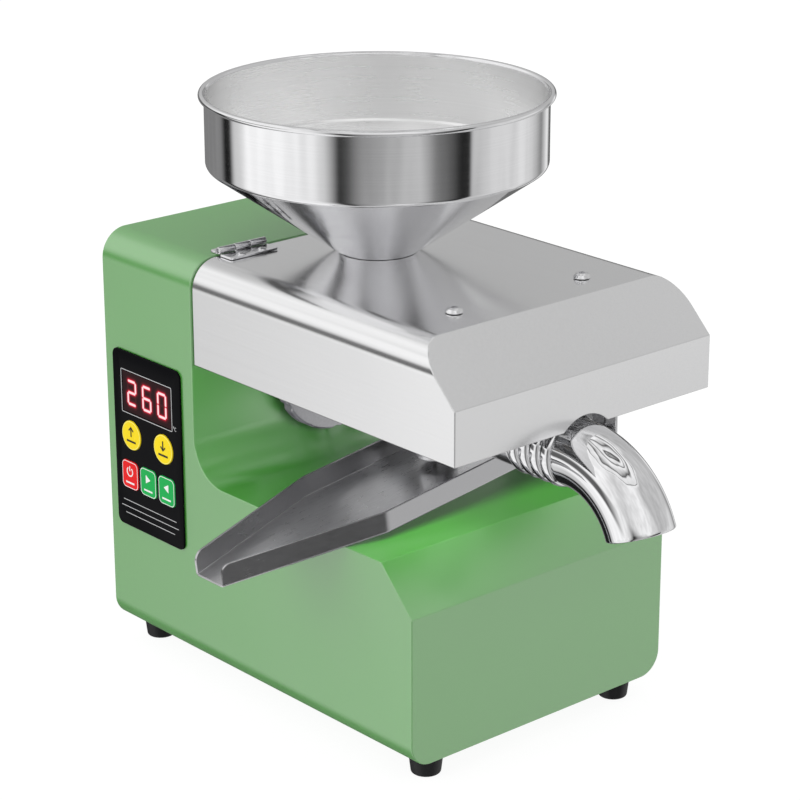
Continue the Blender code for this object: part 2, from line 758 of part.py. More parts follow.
def cooling_fan():
    """The fan: a square frame with a round duct, and a bladed impeller on its axle."""
    half = FAN_SIZE / 2
    centre = (0, 0, FAN_Z)
    frame = extruded(
        "fan_frame",
        rounded_rectangle((-half, half), (FAN_Z - half, FAN_Z + half), 4, 4, steps=3),
        "X",
        FAN_REAR,
        FAN_FRONT,
    )
    cut(frame, rod("duct", "X", centre, FAN_DUCT_RADIUS, FAN_REAR - 1, FAN_FRONT + 1, 32))
    carrier = rod("carrier", "X", centre, FAN_HUB_RADIUS, FAN_FRONT - FAN_STRUT, FAN_FRONT, 20)
    for number in range(FAN_STRUTS):
        strut = block(
            "strut",
            (FAN_FRONT - FAN_STRUT + 0.2, FAN_FRONT - 0.2),
            (-FAN_STRUT / 2, FAN_STRUT / 2),
            (0, FAN_DUCT_RADIUS + 1),
        )
        turn = Matrix.Rotation(math.tau * (number + 0.5) / FAN_STRUTS, 4, "X")
        strut.data.transform(Matrix.Translation(Vector(centre) * MM) @ turn)
        joined(carrier, strut)
    hub_front = FAN_FRONT - FAN_STRUT - SEAT_GAP
    axle = rod("axle", "X", centre, FAN_AXLE_RADIUS, hub_front - 6, FAN_FRONT - 1, 12)
    joined(frame, carrier, axle)
    dressed(frame, "root", "black_plastic")

    hub_rear = FAN_REAR + 1.2
    impeller = rod("fan_impeller", "X", centre, FAN_HUB_RADIUS, hub_rear, hub_front, 28)
    for number in range(FAN_BLADES):
        blade = block("blade", (-0.6, 0.6), (-4.2, 4.2), (FAN_HUB_RADIUS - 0.8, FAN_BLADE_RADIUS))
        pitch = Matrix.Rotation(math.radians(90 - FAN_BLADE_PITCH), 4, "Z")
        turn = Matrix.Rotation(math.tau * number / FAN_BLADES, 4, "X")
        middle = Vector(((hub_rear + hub_front) / 2, 0, FAN_Z)) * MM
        blade.data.transform(Matrix.Translation(middle) @ turn @ pitch)
        joined(impeller, blade)
    bore = rod(
        "bore", "X", centre, FAN_AXLE_RADIUS + SEAT_GAP, hub_front - 6 - SEAT_GAP, hub_front + 1, 12
    )
    cut(impeller, bore)
    dressed(impeller, "fan", "black_plastic")


# Gear train and motor


def gear_outline(teeth, module, height, tooth_at):
    """A spur gear in Y and Z whose tooth is centred at an angle in degrees.

    Each flank is the chord of the true involute from the root to the tip, thinned
    by half of the backlash, so it lies just inside the involute.
    """
    pitch = module * teeth / 2
    base = pitch * math.cos(math.radians(20))
    root = pitch - 1.2 * module
    tip = pitch + 0.95 * module

    def involute(radius):
        turn = math.acos(min(1.0, base / radius))
        return math.tan(turn) - turn

    def half_angle(radius):
        thin = BACKLASH / 2 / pitch
        return math.pi / 2 / teeth - thin + involute(pitch) - involute(max(radius, base))

    points = []
    for number in range(teeth):
        middle = math.radians(tooth_at) + math.tau * number / teeth
        for radius, side in ((root, -1), (tip, -1), (tip, 1), (root, 1)):
            angle = middle + side * half_angle(radius)
            points.append((radius * math.cos(angle), height + radius * math.sin(angle)))
    return points


def gear(name, teeth, module, height, tooth_at, span, shaft_radius, finish, body):
    """A spur gear with a bore that fits its shaft."""
    wheel = extruded(name, gear_outline(teeth, module, height, tooth_at), "X", span[0], span[1])
    bore_radius = shaft_radius + SEAT_GAP
    cut(wheel, rod("bore", "X", (0, 0, height), bore_radius, span[0] - 1, span[1] + 1, 16))
    return dressed(wheel, body, finish)


def gear_train():
    """Three shafts with two meshed pairs, from the gearhead up to the press screw."""
    first = (FIRST_STAGE_REAR, FIRST_STAGE_FRONT)
    second = (SECOND_STAGE_REAR, SECOND_STAGE_FRONT)
    gear(
        "motor_pinion", FIRST_PINION_TEETH, FIRST_MODULE, MOTOR_HEIGHT, 90, first,
        MOTOR_SHAFT_RADIUS, "steel", "rotor",
    )
    gear(
        "idler_gear", FIRST_GEAR_TEETH, FIRST_MODULE, IDLER_HEIGHT, -90 + 180 / FIRST_GEAR_TEETH, first,
        IDLER_SHAFT_RADIUS, "white_nylon", "idler",
    )
    gear(
        "idler_pinion", SECOND_PINION_TEETH, SECOND_MODULE, IDLER_HEIGHT, 90, second,
        IDLER_SHAFT_RADIUS, "steel", "idler",
    )
    gear(
        "output_gear", SECOND_GEAR_TEETH, SECOND_MODULE, PRESS_HEIGHT, -90 + 180 / SECOND_GEAR_TEETH,
        second, OUTPUT_SHAFT_RADIUS, "steel", "screw",
    )
    motor_shaft = rod(
        "motor_shaft", "X", (0, 0, MOTOR_HEIGHT), MOTOR_SHAFT_RADIUS,
        FIRST_STAGE_REAR - 1, GEARBOX_FRONT + 10, 16,
    )
    dressed(motor_shaft, "rotor", "steel")
    idler_shaft = rod(
        "idler_shaft", "X", (0, 0, IDLER_HEIGHT), IDLER_SHAFT_RADIUS,
        GEARBOX_REAR + 0.5, GEARBOX_FRONT - 0.5, 16,
    )
    dressed(idler_shaft, "idler", "steel")
    output_shaft()


def output_shaft():
    """The stepped shaft that ends in the hexagon which drives the press screw."""
    step = SECOND_STAGE_REAR - 1.5
    profile = [
        (GEARBOX_REAR + 0.3, 0),
        (GEARBOX_REAR + 0.3, OUTPUT_JOURNAL_RADIUS),
        (step, OUTPUT_JOURNAL_RADIUS),
        (step, OUTPUT_SHAFT_RADIUS),
        (DRIVE_REAR, OUTPUT_SHAFT_RADIUS),
        (DRIVE_REAR, 0),
    ]
    shaft = turned("output_shaft", profile, "X", (0, 0, PRESS_HEIGHT))
    corner = DRIVE_FLATS / math.sqrt(3)
    hexagon = arc((0, PRESS_HEIGHT), corner, 0, 300, steps=5)
    joined(shaft, extruded("drive", hexagon, "X", DRIVE_REAR - 1, SCREW_REAR + DRIVE_LENGTH - 1))
    return dressed(shaft, "screw", "steel")


def gearbox_plates():
    """The two plates that hold the shafts; the rear one has four posts to the front one."""
    top = PRESS_HEIGHT + GEAR_PLATE_TOP_MARGIN
    half = GEAR_PLATE_HALF_WIDTH
    low = BASE_PLATE_TOP + SEAT_GAP
    outline = rectangle((-half, half), (low, top))
    front = extruded("gearbox_front_plate", outline, "X", GEARBOX_INNER_FRONT, GEARBOX_FRONT)
    rear = extruded("gearbox_rear_plate", outline, "X", GEARBOX_REAR, GEARBOX_INNER_REAR)
    corner = half - POST_RADIUS - 1.5
    for y in (-corner, corner):
        for z in (low + POST_RADIUS + 4, top - POST_RADIUS - 1.5):
            post = rod(
                "post", "X", (0, y, z), POST_RADIUS,
                GEARBOX_INNER_REAR - 1, GEARBOX_INNER_FRONT - SEAT_GAP, 10,
            )
            joined(rear, post)
    front_holes = (
        (PRESS_HEIGHT, FRONT_BEARING_RADIUS + SEAT_GAP),
        (IDLER_HEIGHT, IDLER_SHAFT_RADIUS + SEAT_GAP),
        (MOTOR_HEIGHT, MOTOR_SHAFT_RADIUS + SEAT_GAP),
    )
    for z, radius in front_holes:
        cut(front, rod("hole", "X", (0, 0, z), radius, GEARBOX_INNER_FRONT - 1, GEARBOX_FRONT + 1))
    rear_holes = (
        (PRESS_HEIGHT, REAR_BEARING_RADIUS + SEAT_GAP),
        (IDLER_HEIGHT, IDLER_SHAFT_RADIUS + SEAT_GAP),
    )
    for z, radius in rear_holes:
        cut(rear, rod("hole", "X", (0, 0, z), radius, GEARBOX_REAR - 1, GEARBOX_INNER_REAR + 1))
    dressed(front, "root", "aluminium")
    dressed(rear, "root", "aluminium")


def bearings():
    """The bearings of the output shaft, one in each plate."""
    centre = (0, 0, PRESS_HEIGHT)
    front = tube(
        "front_bearing", "X", centre, OUTPUT_SHAFT_RADIUS + SEAT_GAP, FRONT_BEARING_RADIUS,
        GEARBOX_FRONT - FRONT_BEARING_WIDTH, GEARBOX_FRONT,
    )
    rear = tube(
        "rear_bearing", "X", centre, OUTPUT_JOURNAL_RADIUS + SEAT_GAP, REAR_BEARING_RADIUS,
        GEARBOX_REAR, GEARBOX_INNER_REAR,
    )
    dressed(front, "root", "steel")
    dressed(rear, "root", "steel")


def motor():
    """The gearhead on the front plate, the motor can behind it and the end cap."""
    centre = (0, 0, MOTOR_HEIGHT)
    head_rear = GEARBOX_FRONT + SEAT_GAP
    head_front = head_rear + GEARHEAD_LENGTH
    head = rod("gearhead", "X", centre, GEARHEAD_RADIUS, head_rear, head_front, 28)
    bore_end = GEARBOX_FRONT + 10 + SEAT_GAP
    cut(head, rod("bore", "X", centre, MOTOR_SHAFT_RADIUS + SEAT_GAP, head_rear - 1, bore_end, 16))
    can_rear = head_front + SEAT_GAP
    can_front = can_rear + MOTOR_LENGTH
    can_profile = [
        (can_rear, 0),
        (can_rear, MOTOR_RADIUS - 2),
        (can_rear + 2, MOTOR_RADIUS),
        (can_front, MOTOR_RADIUS),
        (can_front, 0),
    ]
    can = turned("motor_can", can_profile, "X", centre, 28)
    cap_rear = can_front + SEAT_GAP
    cap_profile = [
        (cap_rear, 0),
        (cap_rear, MOTOR_RADIUS - 1),
        (cap_rear + MOTOR_CAP_LENGTH - 5, MOTOR_RADIUS - 2),
        (cap_rear + MOTOR_CAP_LENGTH - 5, 12),
        (cap_rear + MOTOR_CAP_LENGTH, 11),
        (cap_rear + MOTOR_CAP_LENGTH, 0),
    ]
    cap = turned("motor_end_cap", cap_profile, "X", centre, 28)
    dressed(head, "root", "zinc")
    dressed(can, "root", "zinc")
    dressed(cap, "root", "black_plastic")


# Press barrel and what is on it


def barrel_socket():
    """The ring on the tower wall that the barrel's flange drops into.

    Its back edge is chamfered to clear the casing's rounded inner corner.
    """
    profile = [
        (SOCKET_REAR, BARREL_FLANGE_RADIUS + SEAT_GAP),
        (SOCKET_REAR, SOCKET_BACK_RADIUS),
        (SOCKET_REAR + SOCKET_CHAMFER, BOSS_RADIUS),
        (BOSS_FACE, BOSS_RADIUS),
        (BOSS_FACE, BARREL_FLANGE_RADIUS + SEAT_GAP),
    ]
    socket = turned("barrel_socket", profile, "X", (0, 0, PRESS_HEIGHT), 28)
    return dressed(socket, "root", "steel")


def lock_ring():
    """The hand ring that holds the barrel's flange in its socket."""
    lip_rear = BOSS_FACE + SEAT_GAP
    lip_face = lip_rear + LOCK_RING_LIP
    skirt_rear = SOCKET_FACE + SEAT_GAP
    profile = [
        (skirt_rear, BOSS_RADIUS + SEAT_GAP),
        (skirt_rear, LOCK_RING_RADIUS),
        (lip_face - 1, LOCK_RING_RADIUS),
        (lip_face, LOCK_RING_RADIUS - 1),
        (lip_face, BARREL_RADIUS + SEAT_GAP),
        (lip_rear, BARREL_RADIUS + SEAT_GAP),
        (lip_rear, BOSS_RADIUS + SEAT_GAP),
    ]
    ring = turned("lock_ring", profile, "X", (0, 0, PRESS_HEIGHT), 24)
    reach = LOCK_RING_RADIUS + LOCK_RING_NOTCH_RADIUS * 0.55
    for number in range(LOCK_RING_NOTCHES):
        angle = math.tau * (number + 0.5) / LOCK_RING_NOTCHES
        centre = (0, reach * math.sin(angle), PRESS_HEIGHT + reach * math.cos(angle))
        cut(
            ring,
            rod("notch", "X", centre, LOCK_RING_NOTCH_RADIUS, skirt_rear - 1, lip_face + 1, 8),
        )
    return dressed(ring, "lock_ring", "steel")


def press_barrel():
    """The barrel with its rear flange, its stepped muzzle and the feed hole on top."""
    centre = (0, 0, PRESS_HEIGHT)
    step = MUZZLE_FACE - MUZZLE_LENGTH
    body = [
        (BARREL_REAR, BORE_RADIUS),
        (BARREL_REAR, BARREL_FLANGE_RADIUS),
        (BARREL_SHOULDER, BARREL_FLANGE_RADIUS),
        (BARREL_SHOULDER, BARREL_RADIUS),
        (step - MUZZLE_STEP, BARREL_RADIUS),
        (step, MUZZLE_RADIUS),
        (MUZZLE_FACE, MUZZLE_RADIUS),
        (MUZZLE_FACE, THREAD_RADIUS),
        (THREAD_FACE, THREAD_RADIUS),
        (THREAD_FACE, BORE_RADIUS),
    ]
    barrel = turned("press_barrel", body, "X", centre, BARREL_SIDES)
    feed_hole = rod(
        "feed_hole", "Z", (FEED_X, 0, 0), FEED_RADIUS,
        PRESS_HEIGHT, PRESS_HEIGHT + BARREL_RADIUS + 1, BARREL_SIDES,
    )
    oil_hole = rod(
        "oil_hole", "Z", (NOZZLE_X, 0, 0), OIL_HOLE_RADIUS,
        PRESS_HEIGHT - BARREL_RADIUS - 1, PRESS_HEIGHT, 12,
    )
    cut(barrel, feed_hole, oil_hole)
    return dressed(barrel, "root", "stainless")


def feed_throat():
    """The flared collar on top of the barrel that the hopper's neck opens into.

    Its mouth ends just under the neck, so that the hopper and the cover lift clear. Its foot is cut to the barrel's round, so it sits on it like a saddle.
    """
    outer_mouth = THROAT_MOUTH_RADIUS + THROAT_WALL
    cone_low = PRESS_HEIGHT + BARREL_RADIUS + THROAT_NECK
    cone_high = cone_low + THROAT_FLARE
    profile = [
        (PRESS_HEIGHT, FEED_RADIUS),
        (PRESS_HEIGHT, THROAT_RADIUS),
        (cone_low, THROAT_RADIUS),
        (cone_high, outer_mouth),
        (THROAT_MOUTH, outer_mouth),
        (THROAT_MOUTH, THROAT_MOUTH_RADIUS),
        (cone_high, THROAT_MOUTH_RADIUS),
        (cone_low + 1.5, FEED_RADIUS),
    ]
    throat = turned("feed_throat", profile, "Z", (FEED_X, 0, 0), BARREL_SIDES)
    reach = THROAT_RADIUS + 2
    saddle = rod(
        "saddle", "X", (0, 0, PRESS_HEIGHT), BARREL_RADIUS + SEAT_GAP,
        FEED_X - reach, FEED_X + reach, BARREL_SIDES,
    )
    cut(throat, saddle)
    return dressed(throat, "root", "stainless")


def oil_nozzle():
    """The short spout under the barrel that drops the oil into the tray."""
    high = PRESS_HEIGHT - BARREL_RADIUS - SEAT_GAP
    low = high - NOZZLE_LENGTH
    profile = [
        (low, NOZZLE_BORE),
        (low, NOZZLE_RADIUS - 1),
        (low + 1, NOZZLE_RADIUS),
        (high, NOZZLE_RADIUS),
        (high, NOZZLE_BORE),
    ]
    return dressed(turned("oil_nozzle", profile, "Z", (NOZZLE_X, 0, 0)), "root", "stainless")


def heater_band():
    """The split clamp heater round the barrel, with its ears, and the screw through them."""
    centre = (0, 0, PRESS_HEIGHT)
    ends = (BAND_X, BAND_X + BAND_WIDTH)
    inner = BARREL_RADIUS + SEAT_GAP
    outer = inner + BAND_THICKNESS
    ear_top = PRESS_HEIGHT + outer + BAND_EAR_HEIGHT
    band = tube("heater_band", "X", centre, inner, outer, *ends, 24)
    reach = BAND_SPLIT / 2 + BAND_EAR_THICKNESS
    ears = block("ears", ends, (-reach, reach), (PRESS_HEIGHT + inner + 1, ear_top))
    joined(band, ears)
    split = block(
        "split", (ends[0] - 1, ends[1] + 1), (-BAND_SPLIT / 2, BAND_SPLIT / 2),
        (PRESS_HEIGHT + inner - 2, ear_top + 1),
    )
    middle = (BAND_X + BAND_WIDTH / 2, 0, ear_top - BAND_EAR_HEIGHT / 2)
    hole = rod("hole", "Y", middle, CLAMP_SCREW_RADIUS + SEAT_GAP, -reach - 1, reach + 1, 12)
    cut(band, split, hole)
    dressed(band, "root", "steel")
    head = reach + SEAT_GAP
    screw_profile = [
        (-head - 2.4, 0),
        (-head - 2.4, 3.4),
        (-head, 3.4),
        (-head, CLAMP_SCREW_RADIUS),
        (head + 2.4, CLAMP_SCREW_RADIUS),
        (head + 2.4, 0),
    ]
    screw = turned("heater_clamp_screw", screw_profile, "Y", middle, 12)
    dressed(screw, "root", "zinc")


def temperature_probe():
    """The probe that stands in a blind seat on top of the barrel."""
    seat = PRESS_HEIGHT + BARREL_RADIUS + SEAT_GAP
    profile = [
        (seat, 0),
        (seat, PROBE_RADIUS + 1.5),
        (seat + 4, PROBE_RADIUS + 1.5),
        (seat + 4, PROBE_RADIUS),
        (seat + PROBE_LENGTH, PROBE_RADIUS),
        (seat + PROBE_LENGTH, 0),
    ]
    probe = turned("temperature_probe", profile, "Z", (PROBE_X, 0, 0), 12)
    return dressed(probe, "root", "brass")


def adjuster_nut():
    """The ribbed nut on the barrel's thread, whose choke sets how dry the residue is."""
    profile = [(NUT_REAR, THREAD_RADIUS + SEAT_GAP), (NUT_REAR, NUT_RADIUS - 1)]
    rib = NUT_LENGTH / NUT_RIBS
    for number in range(NUT_RIBS):
        start = NUT_REAR + number * rib
        profile.append((start + 1, NUT_RADIUS))
        profile.append((start + rib - 2.2, NUT_RADIUS))
        if number < NUT_RIBS - 1:
            profile.append((start + rib - 1.2, NUT_RADIUS - NUT_GROOVE_DEPTH))
            profile.append((start + rib, NUT_RADIUS - NUT_GROOVE_DEPTH))
    outlet = ELBOW_RADIUS - ELBOW_WALL
    profile += [
        (NUT_FRONT, NUT_RADIUS - 1),
        (NUT_FRONT, outlet),
        (THREAD_FACE + 8, CHOKE_RADIUS),
        (THREAD_FACE + SEAT_GAP, BORE_RADIUS),
        (THREAD_FACE + SEAT_GAP, THREAD_RADIUS + SEAT_GAP),
    ]
    nut = turned("adjuster_nut", profile, "X", (0, 0, PRESS_HEIGHT), 20)
    return dressed(nut, "root", "chrome")


def outlet_elbow():
    """The chrome elbow that turns the residue down, swept round its bend."""
    rings = 8
    sides = 20
    centre_z = PRESS_HEIGHT - ELBOW_BEND_RADIUS
    stations = [(ELBOW_REAR, PRESS_HEIGHT, 0.0)]
    for number in range(rings + 1):
        angle = math.radians(ELBOW_ANGLE * number / rings)
        x = BEND_X + ELBOW_BEND_RADIUS * math.sin(angle)
        z = centre_z + ELBOW_BEND_RADIUS * math.cos(angle)
        stations.append((x, z, angle))
    solid = bmesh.new()
    loops = []
    for radius, order in ((ELBOW_RADIUS, stations), (ELBOW_RADIUS - ELBOW_WALL, stations[::-1])):
        for x, z, angle in order:
            ring = []
            for side in range(sides):
                turn = math.tau * side / sides
                out = radius * math.cos(turn)
                corner = (x + out * math.sin(angle), radius * math.sin(turn), z + out * math.cos(angle))
                ring.append(solid.verts.new(corner))
            loops.append(ring)
    for number, ring in enumerate(loops):
        following = loops[(number + 1) % len(loops)]
        for side in range(sides):
            beside = (side + 1) % sides
            solid.faces.new((ring[side], ring[beside], following[beside], following[side]))
    return dressed(from_bmesh("outlet_elbow", solid), "root", "chrome")


def screw_root(x):
    """The root radius of the press screw, which grows towards the front."""
    share = (x - SCREW_REAR) / (SCREW_FRONT - SCREW_REAR)
    return SCREW_ROOT_REAR + (SCREW_ROOT_FRONT - SCREW_ROOT_REAR) * min(max(share, 0.0), 1.0)


def screw_flights(low, high):
    """The helical flight and its root, longer than the screw, for trimming to length.

    The surface is a grid: each column is one profile across a pitch, and each next
    column is turned and moved on along the helix, until the last point of a column
    meets the first point of the column one turn further.
    """
    segments = 16
    turns = math.ceil((high - low) / SCREW_PITCH) + 2
    start = low - SCREW_PITCH
    profile = ((0.0, 0), (0.30, 0), (0.42, 1), (0.62, 1), (0.74, 0), (1.0, 0))
    solid = bmesh.new()
    columns = []
    for number in range(turns * segments + 1):
        angle = math.tau * number / segments
        column = []
        for share, crest in profile:
            x = start + SCREW_PITCH * (number / segments + share)
            radius = SCREW_RADIUS if crest else screw_root(x)
            corner = (x, radius * math.sin(angle), PRESS_HEIGHT + radius * math.cos(angle))
            column.append(solid.verts.new(corner))
        columns.append(column)
    for left, right in zip(columns, columns[1:]):
        for number in range(len(profile) - 1):
            solid.faces.new((left[number], left[number + 1], right[number + 1], right[number]))
    bmesh.ops.remove_doubles(solid, verts=solid.verts, dist=WELD)
    rims = [edge for edge in solid.edges if len(edge.link_faces) == 1]
    finish = start + SCREW_PITCH * (turns + 1)
    middle = (start + finish) / 2
    for end, side in ((start + SCREW_PITCH / 2, -1), (finish - SCREW_PITCH / 2, 1)):
        tip = solid.verts.new((end, 0, PRESS_HEIGHT))
        for edge in rims:
            centre = (edge.verts[0].co.x + edge.verts[1].co.x) / 2
            if (centre - middle) * side > 0:
                solid.faces.new((edge.verts[0], edge.verts[1], tip))
    return from_bmesh("press_screw", solid)


def press_screw():
    """The screw: a plain journal with a hexagon socket, the flights and a conical tip."""
    centre = (0, 0, PRESS_HEIGHT)
    flights_rear = SCREW_REAR + SCREW_JOURNAL_LENGTH
    flights_front = SCREW_FRONT - SCREW_TIP_LENGTH
    screw = screw_flights(flights_rear, flights_front)
    wide = (-2 * SCREW_RADIUS, 2 * SCREW_RADIUS)
    height = (PRESS_HEIGHT + wide[0], PRESS_HEIGHT + wide[1])
    common(screw, block("length", (flights_rear - 0.5, flights_front), wide, height))
    journal = rod("journal", "X", centre, SCREW_RADIUS, SCREW_REAR, flights_rear, 24)
    tip_profile = [
        (flights_front - 1, 0),
        (flights_front - 1, SCREW_ROOT_FRONT - 0.6),
        (SCREW_FRONT + 2, SCREW_TIP_RADIUS),
        (SCREW_FRONT + 2, 0),
    ]
    joined(screw, journal, turned("tip", tip_profile, "X", centre, 16))
    corner = (DRIVE_FLATS + 2 * SEAT_GAP) / math.sqrt(3)
    hexagon = arc((0, PRESS_HEIGHT), corner, 0, 300, steps=5)
    cut(screw, extruded("socket", hexagon, "X", SCREW_REAR - 1, SCREW_REAR + DRIVE_LENGTH))
    return dressed(screw, "screw", "steel")


# Cover, hinges and hopper


def cover_side_outline():
    """The cover seen from the side, anticlockwise in X and Z."""
    crease = COVER_BOTTOM + COVER_BAND_HEIGHT
    return [
        (COVER_REAR, COVER_BOTTOM),
        (COVER_OVERHANG, COVER_BOTTOM),
        (COVER_OVERHANG, crease),
        (COVER_OVERHANG - COVER_SLOPE_RUN, COVER_TOP),
        (COVER_REAR, COVER_TOP),
    ]


def cover_section(depth):
    """The cover seen from the front, with round top edges."""
    half = COVER_HALF_WIDTH - depth
    return rounded_rectangle(
        (-half, half), (COVER_BOTTOM - 10 + depth, COVER_TOP - depth), 0, COVER_RADIUS - depth
    )


def cover_shell():
    """The stainless cover, open behind and below, with its notch over the outlet."""
    side = cover_side_outline()
    span = (COVER_REAR - 5, COVER_OVERHANG + 5)
    shell = common(
        extruded("cover_shell", side, "Y", -COVER_HALF_WIDTH - 1, COVER_HALF_WIDTH + 1),
        extruded("section", cover_section(0), "X", *span),
    )
    inner = []
    for x, z in inset(side, COVER_SHEET):
        rear_x = COVER_REAR - 3 if x < COVER_REAR + 5 else x
        inner.append((rear_x, COVER_BOTTOM - 3 if z < COVER_BOTTOM + 5 else z))
    hollow = common(
        extruded("hollow", inner, "Y", -COVER_HALF_WIDTH, COVER_HALF_WIDTH),
        extruded("section", cover_section(COVER_SHEET), "X", *span),
    )
    tools = [
        hollow,
        rod(
            "notch", "X", (0, 0, PRESS_HEIGHT), NOTCH_RADIUS,
            COVER_OVERHANG - 3, COVER_OVERHANG + 3, 32,
        ),
        rod(
            "neck_hole", "Z", (FEED_X, 0, 0), NECK_RADIUS + SEAT_GAP,
            COVER_TOP - 5, COVER_TOP + 5, 40,
        ),
    ]
    for y in (-COVER_SCREW_Y, COVER_SCREW_Y):
        tools.append(
            rod(
                "screw_hole", "Z", (COVER_SCREW_X, y, 0), COVER_SCREW_RADIUS + SEAT_GAP,
                COVER_TOP - 5, COVER_TOP + 5, 12,
            )
        )
    cut(shell, *tools)
    return dressed(shell, "cover", "stainless")


def cover_rest():
    """The bent strip under the cover that comes down on the barrel's muzzle."""
    top = COVER_TOP - COVER_SHEET - SEAT_GAP
    under = top - REST_SHEET
    pad = PRESS_HEIGHT + MUZZLE_RADIUS + SEAT_GAP
    outer = REST_PAD_HALF_WIDTH
    inner = outer - REST_SHEET
    outline = [
        (-REST_STRIP_HALF_LENGTH, under),
        (-outer, under),
        (-outer, pad),
        (outer, pad),
        (outer, under),
        (REST_STRIP_HALF_LENGTH, under),
        (REST_STRIP_HALF_LENGTH, top),
        (inner, top),
        (inner, pad + REST_SHEET),
        (-inner, pad + REST_SHEET),
        (-inner, top),
        (-REST_STRIP_HALF_LENGTH, top),
    ]
    half = REST_STRIP_WIDTH / 2
    strip = extruded("cover_rest", outline, "X", COVER_SCREW_X - half, COVER_SCREW_X + half)
    for y in (-COVER_SCREW_Y, COVER_SCREW_Y):
        hole = rod(
            "hole", "Z", (COVER_SCREW_X, y, 0), COVER_SCREW_RADIUS + SEAT_GAP, under - 1, top + 1, 12
        )
        cut(strip, hole)
    return dressed(strip, "cover", "stainless")


def cover_screws():
    """The two round-headed screws on top of the cover."""
    seat = COVER_TOP + SEAT_GAP
    head = COVER_SCREW_HEAD_RADIUS
    profile = [
        (seat - COVER_SCREW_LENGTH, 0),
        (seat - COVER_SCREW_LENGTH, COVER_SCREW_RADIUS),
        (seat, COVER_SCREW_RADIUS),
        (seat, head),
        (seat + COVER_SCREW_HEAD_HEIGHT * 0.55, head * 0.88),
        (seat + COVER_SCREW_HEAD_HEIGHT, head * 0.5),
        (seat + COVER_SCREW_HEAD_HEIGHT, 0),
    ]
    for name, y in (("cover_screw_right", -COVER_SCREW_Y), ("cover_screw_left", COVER_SCREW_Y)):
        screw = turned(name, profile, "Z", (COVER_SCREW_X, y, 0), 16)
        corner = COVER_SCREW_RADIUS * 0.75
        hexagon = arc((COVER_SCREW_X, y), corner, 0, 300, steps=5)
        top = seat + COVER_SCREW_HEAD_HEIGHT
        cut(screw, extruded("socket", hexagon, "Z", top - 1.4, top + 1))
        dressed(screw, "cover", "steel")


def knuckles(name, y, spans):
    """The bored knuckles of one hinge leaf."""
    centre = (HINGE_X, 0, HINGE_Z)
    parts = [
        rod(name, "Y", centre, HINGE_KNUCKLE_RADIUS, y + low, y + high, 10) for low, high in spans
    ]
    return parts


def hinges():
    """Two hinges, each with a leaf on the tower, a leaf on the cover and a pin."""
    third = HINGE_LENGTH / 3
    ends = HINGE_LENGTH / 2
    outer_spans = ((-ends, -ends + third), (ends - third, ends))
    inner_span = ((-ends + third + SEAT_GAP, ends - third - SEAT_GAP),)
    tower_low = TOP + SEAT_GAP
    cover_low = COVER_TOP + SEAT_GAP
    clear = HINGE_KNUCKLE_RADIUS + SEAT_GAP
    for side, y in (("right", -HINGE_Y), ("left", HINGE_Y)):
        centre = (HINGE_X, 0, HINGE_Z)
        tower_leaf = block(
            "tower_hinge_leaf_" + side,
            (HINGE_X - clear - TOWER_LEAF_WIDTH, HINGE_X - clear),
            (y - ends, y + ends),
            (tower_low, tower_low + HINGE_LEAF),
        )
        for low, high in outer_spans:
            tab = block(
                "tab", (HINGE_X - clear - 1, HINGE_X - 0.9), (y + low, y + high),
                (tower_low, tower_low + HINGE_LEAF),
            )
            joined(tower_leaf, tab)
        joined(tower_leaf, *knuckles("knuckle", y, outer_spans))
        cover_leaf = block(
            "cover_hinge_leaf_" + side,
            (HINGE_X + clear, HINGE_X + clear + COVER_LEAF_WIDTH),
            (y - ends, y + ends),
            (cover_low, cover_low + HINGE_LEAF),
        )
        for low, high in inner_span:
            tab = block(
                "tab", (HINGE_X, HINGE_X + clear + 1), (y + low, y + high),
                (cover_low, cover_low + HINGE_LEAF),
            )
            joined(cover_leaf, tab)
        joined(cover_leaf, *knuckles("knuckle", y, inner_span))
        for leaf in (tower_leaf, cover_leaf):
            bore = HINGE_PIN_RADIUS + HINGE_PIN_CLEARANCE
            cut(leaf, rod("bore", "Y", centre, bore, y - ends - 1, y + ends + 1, 8))
        dressed(tower_leaf, "root", "steel")
        dressed(cover_leaf, "cover", "steel")
        pin = rod("hinge_pin_" + side, "Y", centre, HINGE_PIN_RADIUS, y - ends, y + ends, 8)
        dressed(pin, "root", "steel")


